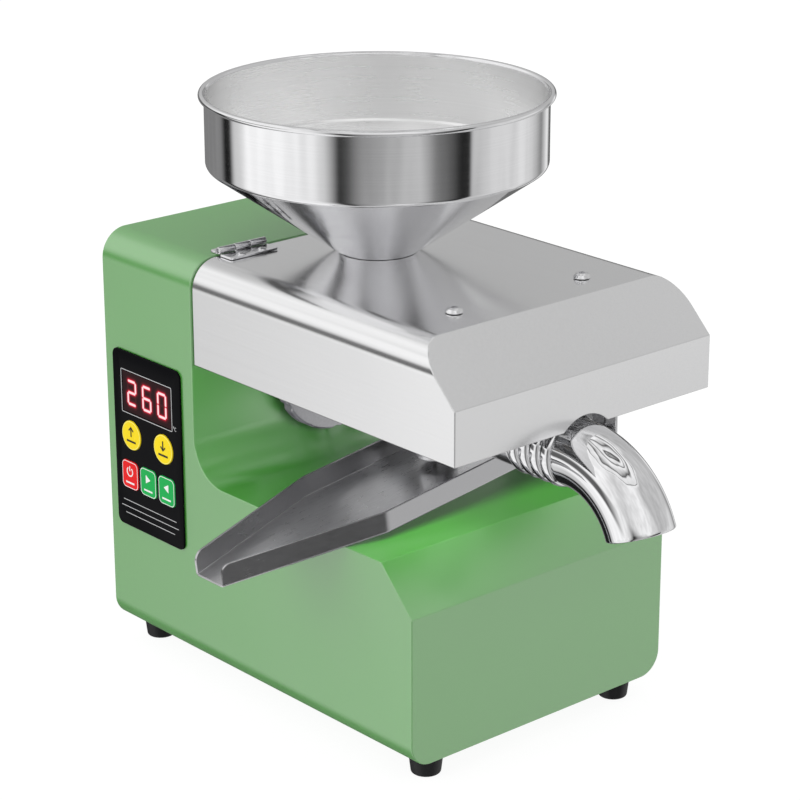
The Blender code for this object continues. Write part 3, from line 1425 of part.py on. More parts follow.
def hopper():
    """The spun hopper: neck, shoulder, cone, straight bowl and a rolled rim."""
    sheet = HOPPER_SHEET
    run = HOPPER_RADIUS - HOPPER_SHOULDER_RADIUS
    slope = math.degrees(math.atan2(HOPPER_CONE_HEIGHT, run))
    knee = HOPPER_KNEE_RADIUS
    tangent = knee * math.tan(math.radians((90 - slope) / 2))
    knee_centre = (HOPPER_KNEE + tangent, HOPPER_RADIUS - knee)
    outer_knee = [(z, r) for r, z in arc(knee_centre[::-1], knee, slope - 90, 0, steps=2)]
    inner_knee = [(z, r) for r, z in arc(knee_centre[::-1], knee - sheet, 0, slope - 90, steps=2)]
    bead_centre = (HOPPER_RADIUS + RIM_BEAD_RADIUS - 0.4, HOPPER_RIM - RIM_BEAD_RADIUS)
    bead = [(z, r) for r, z in arc(bead_centre, RIM_BEAD_RADIUS, -120, 150, steps=5)]
    flat = sheet * math.tan(math.radians(slope / 2))
    profile = [
        (NECK_BOTTOM, NECK_RADIUS - sheet),
        (NECK_BOTTOM, NECK_RADIUS),
        (HOPPER_SEAT, NECK_RADIUS),
        (HOPPER_SEAT, HOPPER_SHOULDER_RADIUS),
        *outer_knee,
        *bead,
        (HOPPER_RIM - 1.2, HOPPER_RADIUS - sheet),
        *inner_knee,
        (HOPPER_SEAT + sheet + flat * 0.4, HOPPER_SHOULDER_RADIUS - flat),
        (HOPPER_SEAT + sheet, NECK_RADIUS - sheet),
    ]
    bowl = turned("hopper", profile, "Z", (FEED_X, 0, 0), 36)
    return dressed(bowl, "hopper", "stainless")


# Oil tray and the splash plate


def tray_place():
    """The matrix that tips the flat tray and rests it on the deck's edge."""
    tilt = Matrix.Rotation(math.atan(TRAY_SLOPE), 4, "X")
    corner = Vector((0, -SIDE, DECK + SEAT_GAP + TRAY_SHEET)) * MM
    return Matrix.Translation(corner) @ tilt


def oil_tray():
    """The folded tray, modelled flat with its floor's top at 0 and then tipped."""
    stretch = math.sqrt(1 + TRAY_SLOPE**2)
    far, crease, tip = ((y + SIDE) * stretch for y in (TRAY_FAR_Y, TRAY_CREASE_Y, TRAY_TIP_Y))
    outer = [
        (TRAY_TIP[0], tip),
        (TRAY_TIP[1], tip),
        (TRAY_WIDE[1], crease),
        (TRAY_WIDE[1], far),
        (TRAY_WIDE[0], far),
        (TRAY_WIDE[0], crease),
    ]
    inner = [(x, y) for x, y in inset(outer, TRAY_SHEET)]
    inner = [
        (x, y - 5 if y < crease - 20 else y + 5 if y > crease + 20 else y) for x, y in inner
    ]
    tray = extruded("oil_tray", outer, "Z", -TRAY_SHEET, TRAY_WALL)
    cut(tray, extruded("channel", inner, "Z", 0, TRAY_WALL + 1))
    corner = TRAY_CORNER
    for end, way in ((tip, 1), (far, -1)):
        edge = end - way
        curve = arc((end + way * corner, TRAY_WALL - corner), corner, 180 if way > 0 else 0, 90)
        outline = [*curve, (end + way * corner, TRAY_WALL + 1), (edge, TRAY_WALL + 1)]
        outline.append((edge, TRAY_WALL - corner))
        cut(tray, extruded("corner", outline, "X", TRAY_WIDE[0] - 1, TRAY_WIDE[1] + 1))
    tray.data.transform(tray_place())
    return dressed(tray, "tray", "stainless")


def tray_rest():
    """The splash plate behind the tray, with a ledge under the tray's high end."""
    low = DECK + SEAT_GAP
    under = low + TRAY_SLOPE * (REST_PLATE_Y - REST_FLANGE + SIDE) - SEAT_GAP
    outer = REST_PLATE_Y + REST_SHEET
    front = REST_PLATE_Y - REST_FLANGE
    outline = [
        (front, low),
        (outer, low),
        (outer, REST_PLATE_TOP),
        (REST_PLATE_Y, REST_PLATE_TOP),
        (REST_PLATE_Y, under),
        (front, under),
        (front, under - REST_SHEET),
        (REST_PLATE_Y, under - REST_SHEET),
        (REST_PLATE_Y, low + REST_SHEET),
        (front, low + REST_SHEET),
    ]
    plate = extruded("tray_rest", outline, "X", *REST_PLATE_SPAN)
    return dressed(plate, "root", "stainless")


# Control panel


def key_solid(name, outline, finish):
    """A key: a cap in the film's hole and a stem towards the board."""
    face = PANEL_FACE - KEY_PROUD
    stem_end = BOARD_FACE - SEAT_GAP - KEY_TRAVEL
    centre_x = sum(x for x, _ in outline) / len(outline)
    centre_z = sum(z for _, z in outline) / len(outline)
    key = extruded(name, outline, "Y", face, face + KEY_CAP)
    stem = rod(
        "stem", "Y", (centre_x, 0, centre_z), KEY_STEM_RADIUS, face + KEY_CAP - 0.5, stem_end, 10
    )
    joined(key, stem)
    return dressed(key, name, finish)


def round_key_outline(x, more=0.0):
    """A round key's outline, with the same amount more all round."""
    return arc((x, ROUND_KEY_Z), ROUND_KEY_RADIUS + more, 0, 340, steps=17)


def square_key_outline(x, more=0.0):
    """A rounded square key's outline, with the same amount more all round."""
    half_x = SQUARE_KEY_SIZE[0] / 2 + more
    half_z = SQUARE_KEY_SIZE[1] / 2 + more
    return rounded_rectangle(
        (x - half_x, x + half_x),
        (SQUARE_KEY_Z - half_z, SQUARE_KEY_Z + half_z),
        SQUARE_KEY_RADIUS + more,
        SQUARE_KEY_RADIUS + more,
        steps=4,
    )


def control_panel():
    """The film with its holes, the display, the board behind them and the five keys."""
    film = extruded(
        "panel_overlay",
        rounded_rectangle(PANEL_SPAN_X, PANEL_SPAN_Z, PANEL_RADIUS, PANEL_RADIUS, steps=4),
        "Y",
        PANEL_FACE,
        PANEL_BACK,
    )
    holes = [round_key_outline(x, SEAT_GAP) for x in ROUND_KEYS.values()]
    holes += [square_key_outline(x, SEAT_GAP) for x in SQUARE_KEYS.values()]
    display_hole_x = (DISPLAY_SPAN_X[0] - SEAT_GAP, DISPLAY_SPAN_X[1] + SEAT_GAP)
    display_hole_z = (DISPLAY_SPAN_Z[0] - SEAT_GAP, DISPLAY_SPAN_Z[1] + SEAT_GAP)
    holes.append(rectangle(display_hole_x, display_hole_z))
    cut(film, *(extruded("hole", hole, "Y", PANEL_FACE - 1, PANEL_BACK + 1) for hole in holes))
    dressed(film, "root", "panel_film")

    display = block(
        "display_module", DISPLAY_SPAN_X, (PANEL_FACE + 0.2, BOARD_FACE - SEAT_GAP), DISPLAY_SPAN_Z
    )
    dressed(display, "root", "display_red")

    board_x = (PANEL_SPAN_X[0] + 1, PANEL_SPAN_X[1] - 1)
    board_z = (WINDOW_SPAN_Z[0] - 7, WINDOW_SPAN_Z[1] + 7)
    board = block("control_board", board_x, (BOARD_FACE, BOARD_FACE + BOARD_THICKNESS), board_z)
    inside = -SIDE + CASE_SHEET + SEAT_GAP
    margin = BOARD_POST_RADIUS + 0.5
    for z in (board_z[0] + margin, board_z[1] - margin):
        for x in (board_x[0] + margin, board_x[1] - margin):
            joined(board, rod("post", "Y", (x, 0, z), BOARD_POST_RADIUS, inside, BOARD_FACE + 0.5, 10))
    dressed(board, "root", "board_green")

    for name, x in ROUND_KEYS.items():
        key_solid(name, round_key_outline(x), "key_yellow")
    for name, x in SQUARE_KEYS.items():
        finish = "key_red" if name == "key_power" else "key_green"
        key_solid(name, square_key_outline(x), finish)


# Assembly


def centre_on_footprint(press):
    """Move the whole press so that X and Y are 0 in the middle of its bounding box."""
    bpy.context.view_layer.update()
    corners = []
    for item in bpy.context.scene.objects:
        if item.type == "MESH":
            corners += [item.matrix_world @ vertex.co for vertex in item.data.vertices]
    for axis in (0, 1):
        values = [corner[axis] for corner in corners]
        press.location[axis] = -(min(values) + max(values)) / 2


def main():
    """Clear the scene and build the press."""
    for item in list(bpy.data.objects):
        bpy.data.objects.remove(item)
    for name, x in {**ROUND_KEYS, **SQUARE_KEYS}.items():
        height = ROUND_KEY_Z if name in ROUND_KEYS else SQUARE_KEY_Z
        BODY_PIVOTS[name] = Vector((x, PANEL_FACE, height))
    press = body_pivots()
    casing_shell()
    base_plate()
    feet()
    rear_cover()
    power_inlet()
    rocker_switch()
    cooling_fan()
    gear_train()
    gearbox_plates()
    bearings()
    motor()
    barrel_socket()
    lock_ring()
    press_barrel()
    feed_throat()
    oil_nozzle()
    heater_band()
    temperature_probe()
    adjuster_nut()
    outlet_elbow()
    press_screw()
    cover_shell()
    cover_rest()
    cover_screws()
    hinges()
    hopper()
    oil_tray()
    tray_rest()
    control_panel()
    centre_on_footprint(press)


main()
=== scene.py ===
"""The looks of a countertop screw oil press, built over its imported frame.

Each sub-assembly is a class whose fields are its sizes in millimetres. Their
bench has X 0 at the casing's front wall, Y 0 on the centre plane and Z 0 under
the feet. Bench.to_frame turns bench points into the frame's metres.
"""

import json
import logging
import math
from collections.abc import Callable
from dataclasses import dataclass
from enum import Enum

import bmesh
import bpy
import numpy as np
from mathutils import Matrix, Vector

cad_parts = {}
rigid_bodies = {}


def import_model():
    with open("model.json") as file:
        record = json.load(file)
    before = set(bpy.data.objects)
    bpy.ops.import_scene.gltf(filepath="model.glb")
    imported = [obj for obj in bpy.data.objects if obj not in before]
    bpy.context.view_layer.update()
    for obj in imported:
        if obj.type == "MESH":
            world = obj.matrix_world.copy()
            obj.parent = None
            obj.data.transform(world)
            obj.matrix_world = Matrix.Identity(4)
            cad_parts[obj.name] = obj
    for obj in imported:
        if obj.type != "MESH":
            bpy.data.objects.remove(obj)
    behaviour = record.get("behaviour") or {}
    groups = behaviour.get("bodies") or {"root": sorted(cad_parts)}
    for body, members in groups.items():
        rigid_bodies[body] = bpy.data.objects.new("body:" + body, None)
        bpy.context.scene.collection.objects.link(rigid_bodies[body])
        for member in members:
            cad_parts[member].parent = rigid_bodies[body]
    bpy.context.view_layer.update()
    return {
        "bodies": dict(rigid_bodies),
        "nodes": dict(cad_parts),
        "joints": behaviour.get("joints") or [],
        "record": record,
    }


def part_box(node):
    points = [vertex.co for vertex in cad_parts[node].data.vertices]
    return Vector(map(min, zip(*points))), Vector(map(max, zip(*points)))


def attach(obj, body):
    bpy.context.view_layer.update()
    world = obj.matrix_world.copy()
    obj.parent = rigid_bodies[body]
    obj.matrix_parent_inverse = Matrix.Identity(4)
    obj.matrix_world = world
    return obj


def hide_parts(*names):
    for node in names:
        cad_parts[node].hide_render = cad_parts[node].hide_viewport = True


LOG = logging.getLogger("oil_press")
MM = 0.001
WELD = 1e-6
FULL_TURN = 2 * math.pi


class Axis(Enum):
    """A bench axis along which a piece is extruded or about which it is spun."""

    X = "X"
    Y = "Y"
    Z = "Z"

    def place(self, along: np.ndarray | float, u: np.ndarray, v: np.ndarray) -> np.ndarray:
        """Points from a distance along the axis and two across it.

        Args:
            along: the distance along the axis.
            u: the first distance across it.
            v: the second distance across it.

        Returns:
            The points, with their three coordinates in the last dimension.
        """
        along, u, v = np.broadcast_arrays(along, u, v)
        order = {"X": (along, u, v), "Y": (u, along, v), "Z": (u, v, along)}[self.value]
        return np.stack(order, axis=-1).astype(float)


@dataclass(frozen=True)
class Bench:
    """Where the bench's millimetres lie in the frame."""

    front: float
    middle: float

    @classmethod
    def measured(cls) -> "Bench":
        """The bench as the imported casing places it."""
        low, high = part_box("casing_shell")
        return cls(high.x / MM, (low.y + high.y) / 2 / MM)

    def to_frame(self, points: np.ndarray) -> np.ndarray:
        """Bench points in the frame's metres."""
        return (points + np.array([self.front, self.middle, 0.0])) * MM

    def span(self, node: str) -> tuple[np.ndarray, np.ndarray]:
        """A node's lowest and highest corner on the bench.

        Args:
            node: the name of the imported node.

        Returns:
            The two corners in millimetres.
        """
        shift = np.array([self.front, self.middle, 0.0])
        low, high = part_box(node)
        return np.array(low) / MM - shift, np.array(high) / MM - shift

    def centre(self, node: str) -> np.ndarray:
        """The middle of a node's box on the bench."""
        return sum(self.span(node)) / 2


# Outlines in two dimensions


def rounded(
    corners: list[tuple[float, float]] | np.ndarray,
    radii: float | list[float],
    steps: int = 8,
    closed: bool = True,
) -> np.ndarray:
    """An outline whose corners are arcs.

    An arc touches both legs at its radius over the tangent of half the corner's
    angle. Its points turn evenly from one touching point to the other.

    Args:
        corners: the sharp corners in order.
        radii: the radius of each corner, or of all; 0 leaves it sharp.
        steps: how many pieces each arc has.
        closed: whether the last corner joins the first.

    Returns:
        The points, one in each row.
    """
    points = np.asarray(corners, float)
    radius = np.broadcast_to(np.asarray(radii, float), len(points)).copy()
    if not closed:
        radius[[0, -1]] = 0.0
    before = np.roll(points, 1, axis=0) - points
    after = np.roll(points, -1, axis=0) - points
    before /= np.linalg.norm(before, axis=1, keepdims=True)
    after /= np.linalg.norm(after, axis=1, keepdims=True)
    half = np.arccos(np.clip((before * after).sum(axis=1), -1.0, 1.0)) / 2
    half = np.clip(half, 1e-3, math.pi / 2 - 1e-4)
    bisector = before + after
    bisector /= np.maximum(np.linalg.norm(bisector, axis=1, keepdims=True), 1e-9)
    centre = points + bisector * (radius / np.sin(half))[:, None]
    touch = (radius / np.tan(half))[:, None]
    start = points + before * touch - centre
    end = points + after * touch - centre
    turn = (math.pi - 2 * half)[:, None, None]
    share = np.linspace(0.0, 1.0, steps + 1)[None, :, None]
    weights = np.sin((1 - share) * turn), np.sin(share * turn)
    arcs = centre[:, None] + (weights[0] * start[:, None] + weights[1] * end[:, None]) / np.sin(turn)
    return distinct(arcs.reshape(-1, 2), closed)


def distinct(points: np.ndarray, closed: bool = True) -> np.ndarray:
    """The points without those that repeat the one before.

    Args:
        points: the points of an outline.
        closed: whether the last point may not repeat the first.

    Returns:
        The points that are left.
    """
    step = np.linalg.norm(points - np.roll(points, 1, axis=0), axis=1)
    keep = step > 1e-5
    if not closed:
        keep[0] = True
    return points[keep]


def refined(points: np.ndarray, spacing: float) -> np.ndarray:
    """A closed outline with long edges cut into even pieces.

    Each edge gets its length over the spacing, rounded up, as its number of
    pieces, and each new point lies at an even share of its edge.

    Args:
        points: the closed outline.
        spacing: the longest piece that may be left.

    Returns:
        The finer outline.
    """
    edges = np.roll(points, -1, axis=0) - points
    counts = np.maximum(1, np.ceil(np.linalg.norm(edges, axis=1) / spacing).astype(int))
    owner = np.repeat(np.arange(len(points)), counts)
    first = np.repeat(np.cumsum(counts) - counts, counts)
    share = (np.arange(len(owner)) - first) / counts[owner]
    return points[owner] + edges[owner] * share[:, None]


def inset(corners: list[tuple[float, float]] | np.ndarray, distance: float) -> np.ndarray:
    """Anticlockwise corners moved inwards.

    A corner moves along the sum of its two edges' inward normals until it is the
    distance away from both edges.

    Args:
        corners: the corners in order.
        distance: how far in.

    Returns:
        The moved corners.
    """
    points = np.asarray(corners, float)
    edges = np.roll(points, -1, axis=0) - points
    normals = np.stack([-edges[:, 1], edges[:, 0]], axis=1)
    normals /= np.linalg.norm(normals, axis=1, keepdims=True)
    both = np.roll(normals, 1, axis=0) + normals
    return points + both * (distance / (both * normals).sum(axis=1))[:, None]


def rectangle(centre: tuple[float, float], size: tuple[float, float]) -> list[tuple[float, float]]:
    """The corners of a rectangle about a centre."""
    (u, v), (a, b) = centre, (size[0] / 2, size[1] / 2)
    return [(u - a, v - b), (u + a, v - b), (u + a, v + b), (u - a, v + b)]


def circle(centre: tuple[float, float], radius: float, count: int = 64, first: float = 0.0) -> np.ndarray:
    """Points evenly round a circle.

    Args:
        centre: the middle.
        radius: the distance of each point.
        count: how many points.
        first: the angle of the first point in degrees.

    Returns:
        The points, one in each row.
    """
    angle = math.radians(first) + np.linspace(0.0, FULL_TURN, count, endpoint=False)
    return np.asarray(centre) + radius * np.stack([np.cos(angle), np.sin(angle)], axis=1)


def band(line: np.ndarray, width: float, closed: bool = False) -> np.ndarray:
    """The outline of a line drawn with a width.

    Each point moves half the width to either side along the normal of the line's
    own direction there.

    Args:
        line: the points of the line.
        width: the width of the stroke.
        closed: whether the line is a loop.

    Returns:
        The points of one side, then of the other side backwards.
    """
    if closed:
        line = np.vstack([line, line[:1]])
    ahead = np.gradient(line, axis=0)
    normal = np.stack([-ahead[:, 1], ahead[:, 0]], axis=1)
    normal /= np.linalg.norm(normal, axis=1, keepdims=True)
    return np.vstack([line + normal * width / 2, (line - normal * width / 2)[::-1]])


# Surfaces in three dimensions


@dataclass
class Surface:
    """Points on the bench and the faces that join them."""

    points: np.ndarray
    faces: list[list[int]]

    def __add__(self, other: "Surface") -> "Surface":
        """Both surfaces as one."""
        start = len(self.points)
        moved = [[number + start for number in face] for face in other.faces]
        return Surface(np.vstack([self.points, other.points]), self.faces + moved)

    def moved(self, matrix: Matrix) -> "Surface":
        """The surface after a matrix in millimetres."""
        turn = np.array(matrix.to_3x3())
        return Surface(self.points @ turn.T + np.array(matrix.translation), self.faces)


def woven(
    points: np.ndarray, wrap_rows: bool = False, wrap_columns: bool = False, caps: bool = False
) -> Surface:
    """The grid of points with a face between each four neighbours.

    Args:
        points: rows of columns of points.
        wrap_rows: whether the last row joins the first.
        wrap_columns: whether the last column joins the first.
        caps: whether the first and the last row are closed with a flat face.

    Returns:
        The surface.
    """
    rows, columns = points.shape[:2]
    numbers = np.arange(rows * columns).reshape(rows, columns)
    ends = [numbers[0, ::-1].tolist(), numbers[-1].tolist()]
    if wrap_rows:
        numbers = np.vstack([numbers, numbers[:1]])
    if wrap_columns:
        numbers = np.hstack([numbers, numbers[:, :1]])
    quads = np.stack(
        [numbers[:-1, :-1], numbers[:-1, 1:], numbers[1:, 1:], numbers[1:, :-1]], axis=-1
    )
    faces = quads.reshape(-1, 4).tolist()
    return Surface(points.reshape(-1, 3), faces + ends if caps else faces)


def spun(
    profile: np.ndarray,
    axis: Axis,
    centre: tuple[float, float],
    segments: int = 96,
    closed: bool = True,
    reach: np.ndarray | None = None,
) -> Surface:
    """A profile turned about an axis.

    A point of the surface is the profile's distance along the axis, and its
    radius at each angle across it.

    Args:
        profile: rows of distance along the axis and radius.
        axis: the axis.
        centre: where the axis passes, across it.
        segments: how many pieces the turn has.
        closed: whether the profile is a loop; an open one starts and ends on the axis.
        reach: the largest radius at each angle, for a rim that isn't round.

    Returns:
        The surface.
    """
    angle = np.linspace(0.0, FULL_TURN, segments, endpoint=False)[None, :]
    radius = np.repeat(profile[:, 1:2], segments, axis=1)
    if reach is not None:
        radius = np.minimum(radius, reach[None, :])
    u = centre[0] + radius * np.cos(angle)
    v = centre[1] + radius * np.sin(angle)
    return woven(axis.place(profile[:, :1], u, v), wrap_rows=closed, wrap_columns=True)


def prism(outline: np.ndarray | list, axis: Axis, low: float, high: float) -> Surface:
    """An outline carried straight along an axis.

    Args:
        outline: the points across the axis.
        axis: the axis.
        low: where it starts.
        high: where it ends.

    Returns:
        The closed surface.
    """
    points = np.asarray(outline, float)
    ends = np.array([[low], [high]])
    return woven(axis.place(ends, points[None, :, 0], points[None, :, 1]), wrap_columns=True, caps=True)


def crowned(outline: np.ndarray, axis: Axis, levels: list[tuple[float, float]]) -> Surface:
    """An outline carried along an axis while it shrinks towards its middle.

    At each level every point keeps its direction from the middle, and its
    distance loses the level's share of the outline's half width.

    Args:
        outline: the points across the axis.
        axis: the axis.
        levels: pairs of distance along the axis and how far the outline moves in.

    Returns:
        The closed surface.
    """
    points = np.asarray(outline, float)
    middle = (points.max(axis=0) + points.min(axis=0)) / 2
    half = (points.max(axis=0) - points.min(axis=0)) / 2
    along, shrink = np.array(levels).T
    scale = 1 - shrink[:, None, None] / half
    rings = middle + (points - middle) * scale
    return woven(axis.place(along[:, None], rings[..., 0], rings[..., 1]), wrap_columns=True, caps=True)


def hoop(inner: np.ndarray, outer: np.ndarray, axis: Axis, near: float, far: float) -> Surface:
    """A flat loop of square section between two outlines.

    Args:
        inner: the inner outline.
        outer: the outer outline, with as many points.
        axis: the axis across the loop.
        near: where the loop starts along it.
        far: where it ends.

    Returns:
        The closed surface.
    """
    rings = np.stack([inner, outer, outer, inner])
    along = np.array([near, near, far, far])[:, None]
    return woven(axis.place(along, rings[..., 0], rings[..., 1]), wrap_rows=True, wrap_columns=True)


def box(low: tuple[float, float, float], high: tuple[float, float, float]) -> Surface:
    """A block between two corners."""
    outline = [(low[0], low[1]), (high[0], low[1]), (high[0], high[1]), (low[0], high[1])]
    return prism(outline, Axis.Z, low[2], high[2])


# Pieces in the scene


def linked(name: str, data: bpy.types.ID) -> bpy.types.Object:
    """A new object in the scene that shows the data."""
    item = bpy.data.objects.new(name, data)
    bpy.context.scene.collection.objects.link(item)
    return item


class Workshop:
    """Makes pieces on the bench and hands each to the body that carries it."""

    def __init__(self, frame: dict, bench: Bench, finishes: dict[str, bpy.types.Material]) -> None:
        """Keep the frame, the bench and the finishes."""
        self.frame = frame
        self.bench = bench
        self.finishes = finishes
        self.slots = {row["slot"] for row in frame["record"]["materials"]}

    def piece(self, name: str, surface: Surface, sharp: float = 35.0) -> bpy.types.Object:
        """An object in the scene from a surface on the bench.

        Args:
            name: the piece's name.
            surface: its surface.
            sharp: the angle in degrees past which an edge stays sharp.

        Returns:
            The object, at the origin, with its place in its mesh.
        """
        mesh = bpy.data.meshes.new(name)
        mesh.from_pydata(self.bench.to_frame(surface.points).tolist(), [], surface.faces)
        solid = bmesh.new()
        solid.from_mesh(mesh)
        bmesh.ops.remove_doubles(solid, verts=solid.verts, dist=WELD)
        bmesh.ops.recalc_face_normals(solid, faces=solid.faces)
        solid.to_mesh(mesh)
        solid.free()
        mesh.shade_smooth()
        mesh.set_sharp_from_angle(angle=math.radians(sharp))
        return linked(name, mesh)

    def turned(
        self,
        name: str,
        corners: list[tuple[float, float]],
        radii: list[float],
        steps: int,
        axis: Axis,
        centre: tuple[float, float],
        segments: int = 96,
        closed: bool = True,
    ) -> bpy.types.Object:
        """A piece turned about an axis from a profile with rounded corners.

        Args:
            name: the piece's name.
            corners: the profile's sharp corners, as distance along the axis and radius.
            radii: the radius of each corner.
            steps: how many pieces each arc has.
            axis: the axis.
            centre: where the axis passes, across it.
            segments: how many pieces the turn has.
            closed: whether the profile is a loop.

        Returns:
            The object.
        """
        return self.piece(name, spun(rounded(corners, radii, steps, closed), axis, centre, segments, closed))

    def crossed(
        self,
        name: str,
        side: np.ndarray,
        section: np.ndarray,
        wide: tuple[float, float],
        long: tuple[float, float],
    ) -> bpy.types.Object:
        """The solid that fills an outline from the side and one from the front.

        Args:
            name: the piece's name.
            side: the outline in X and Z.
            section: the outline in Y and Z.
            wide: how far the side's outline reaches in Y.
            long: how far the section's outline reaches in X.

        Returns:
            The object.
        """
        across = self.piece("section", prism(section, Axis.X, *long))
        return self.carved(self.piece(name, prism(side, Axis.Y, *wide)), "INTERSECT", across)

    def cut(self, target: bpy.types.Object, *holes: Surface, sharp: float | None = None) -> None:
        """Take some solids out of a piece.

        Args:
            target: the piece.
            holes: the surfaces of the solids.
            sharp: the angle in degrees past which an edge stays sharp afterwards.
        """
        self.carved(target, "DIFFERENCE", *[self.piece("cutter", hole) for hole in holes])
        if sharp is not None:
            target.data.set_sharp_from_angle(angle=math.radians(sharp))

    def copied(self, node: str, name: str) -> bpy.types.Object:
        """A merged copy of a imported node, which stands for it.

        Args:
            node: the node to copy.
            name: the new piece's name.

        Returns:
            The new object.
        """
        source = self.frame["nodes"][node].data
        flat = np.empty(len(source.vertices) * 3)
        source.vertices.foreach_get("co", flat)
        points = flat.reshape(-1, 3) / MM - np.array([self.bench.front, self.bench.middle, 0.0])
        return self.piece(name, Surface(points, [list(face.vertices) for face in source.polygons]))

    def carved(
        self, target: bpy.types.Object, operation: str, *tools: bpy.types.Object
    ) -> bpy.types.Object:
        """The target after a Boolean with each tool, which is used up.

        Args:
            target: the piece that changes.
            operation: DIFFERENCE, INTERSECT or UNION.
            tools: the other solids.

        Returns:
            The target.
        """
        for tool in tools:
            change = target.modifiers.new("carve", "BOOLEAN")
            change.operation, change.solver, change.object = operation, "EXACT", tool
            graph = bpy.context.evaluated_depsgraph_get()
            mesh = bpy.data.meshes.new_from_object(target.evaluated_get(graph))
            target.modifiers.clear()
            target.data = mesh
            bpy.data.objects.remove(tool)
            solid = bmesh.new()
            solid.from_mesh(mesh)
            bmesh.ops.remove_doubles(solid, verts=solid.verts, dist=WELD)
            solid.to_mesh(mesh)
            solid.free()
        target.data.shade_smooth()
        return target

    def softened(
        self, piece: bpy.types.Object, width: float, segments: int = 3, angle: float = 28.0
    ) -> bpy.types.Object:
        """Round the piece's edges and keep its flat faces flat.

        Args:
            piece: the piece.
            width: how far the rounding reaches from the edge, in millimetres.
            segments: how many faces the rounding has.
            angle: the angle in degrees past which an edge is rounded.

        Returns:
            The piece.
        """
        bevel = piece.modifiers.new("rounded_edges", "BEVEL")
        bevel.width = width * MM
        bevel.segments = segments
        bevel.limit_method = "ANGLE"
        bevel.angle_limit = math.radians(angle)
        bevel.miter_outer = "MITER_ARC"
        normals = piece.modifiers.new("flat_faces", "WEIGHTED_NORMAL")
        normals.keep_sharp = False
        normals.weight = 60
        return piece

    def deliver(
        self, piece: bpy.types.Object, body: str, finish: str, *nodes: str, slot: str = ""
    ) -> bpy.types.Object:
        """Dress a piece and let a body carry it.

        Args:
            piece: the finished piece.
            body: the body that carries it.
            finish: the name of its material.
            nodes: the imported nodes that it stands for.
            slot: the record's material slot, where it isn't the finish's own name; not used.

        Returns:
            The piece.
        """
        piece.data.materials.clear()
        piece.data.materials.append(self.finishes[finish])
        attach(piece, body)
        slot = slot or finish
        if nodes:
            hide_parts(*nodes)
        LOG.info("%s rides on %s in %s", piece.name, body, finish)
        return piece

    def lined(
        self, piece: bpy.types.Object, finish: str, chosen: Callable[[np.ndarray, np.ndarray], np.ndarray]
    ) -> None:
        """Give some faces of a finished piece a second finish.

        Args:
            piece: the finished piece.
            finish: the name of the second material.
            chosen: which faces take it, from their centres and normals.
        """
        faces = piece.data.polygons
        piece.data.materials.append(self.finishes[finish])
        middle, normal = np.empty(len(faces) * 3), np.empty(len(faces) * 3)
        faces.foreach_get("center", middle)
        faces.foreach_get("normal", normal)
        mask = chosen(middle.reshape(-1, 3), normal.reshape(-1, 3))
        faces.foreach_set("material_index", mask.astype(np.int32))

    def dress(self, node: str, finish: str) -> None:
        """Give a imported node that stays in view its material."""
        item = self.frame["nodes"][node]
        if item.material_slots:
            item.material_slots[0].material = self.finishes[finish]
        else:
            item.data.materials.append(self.finishes[finish])
        LOG.info("%s keeps its shape in %s", node, finish)


# Shader building


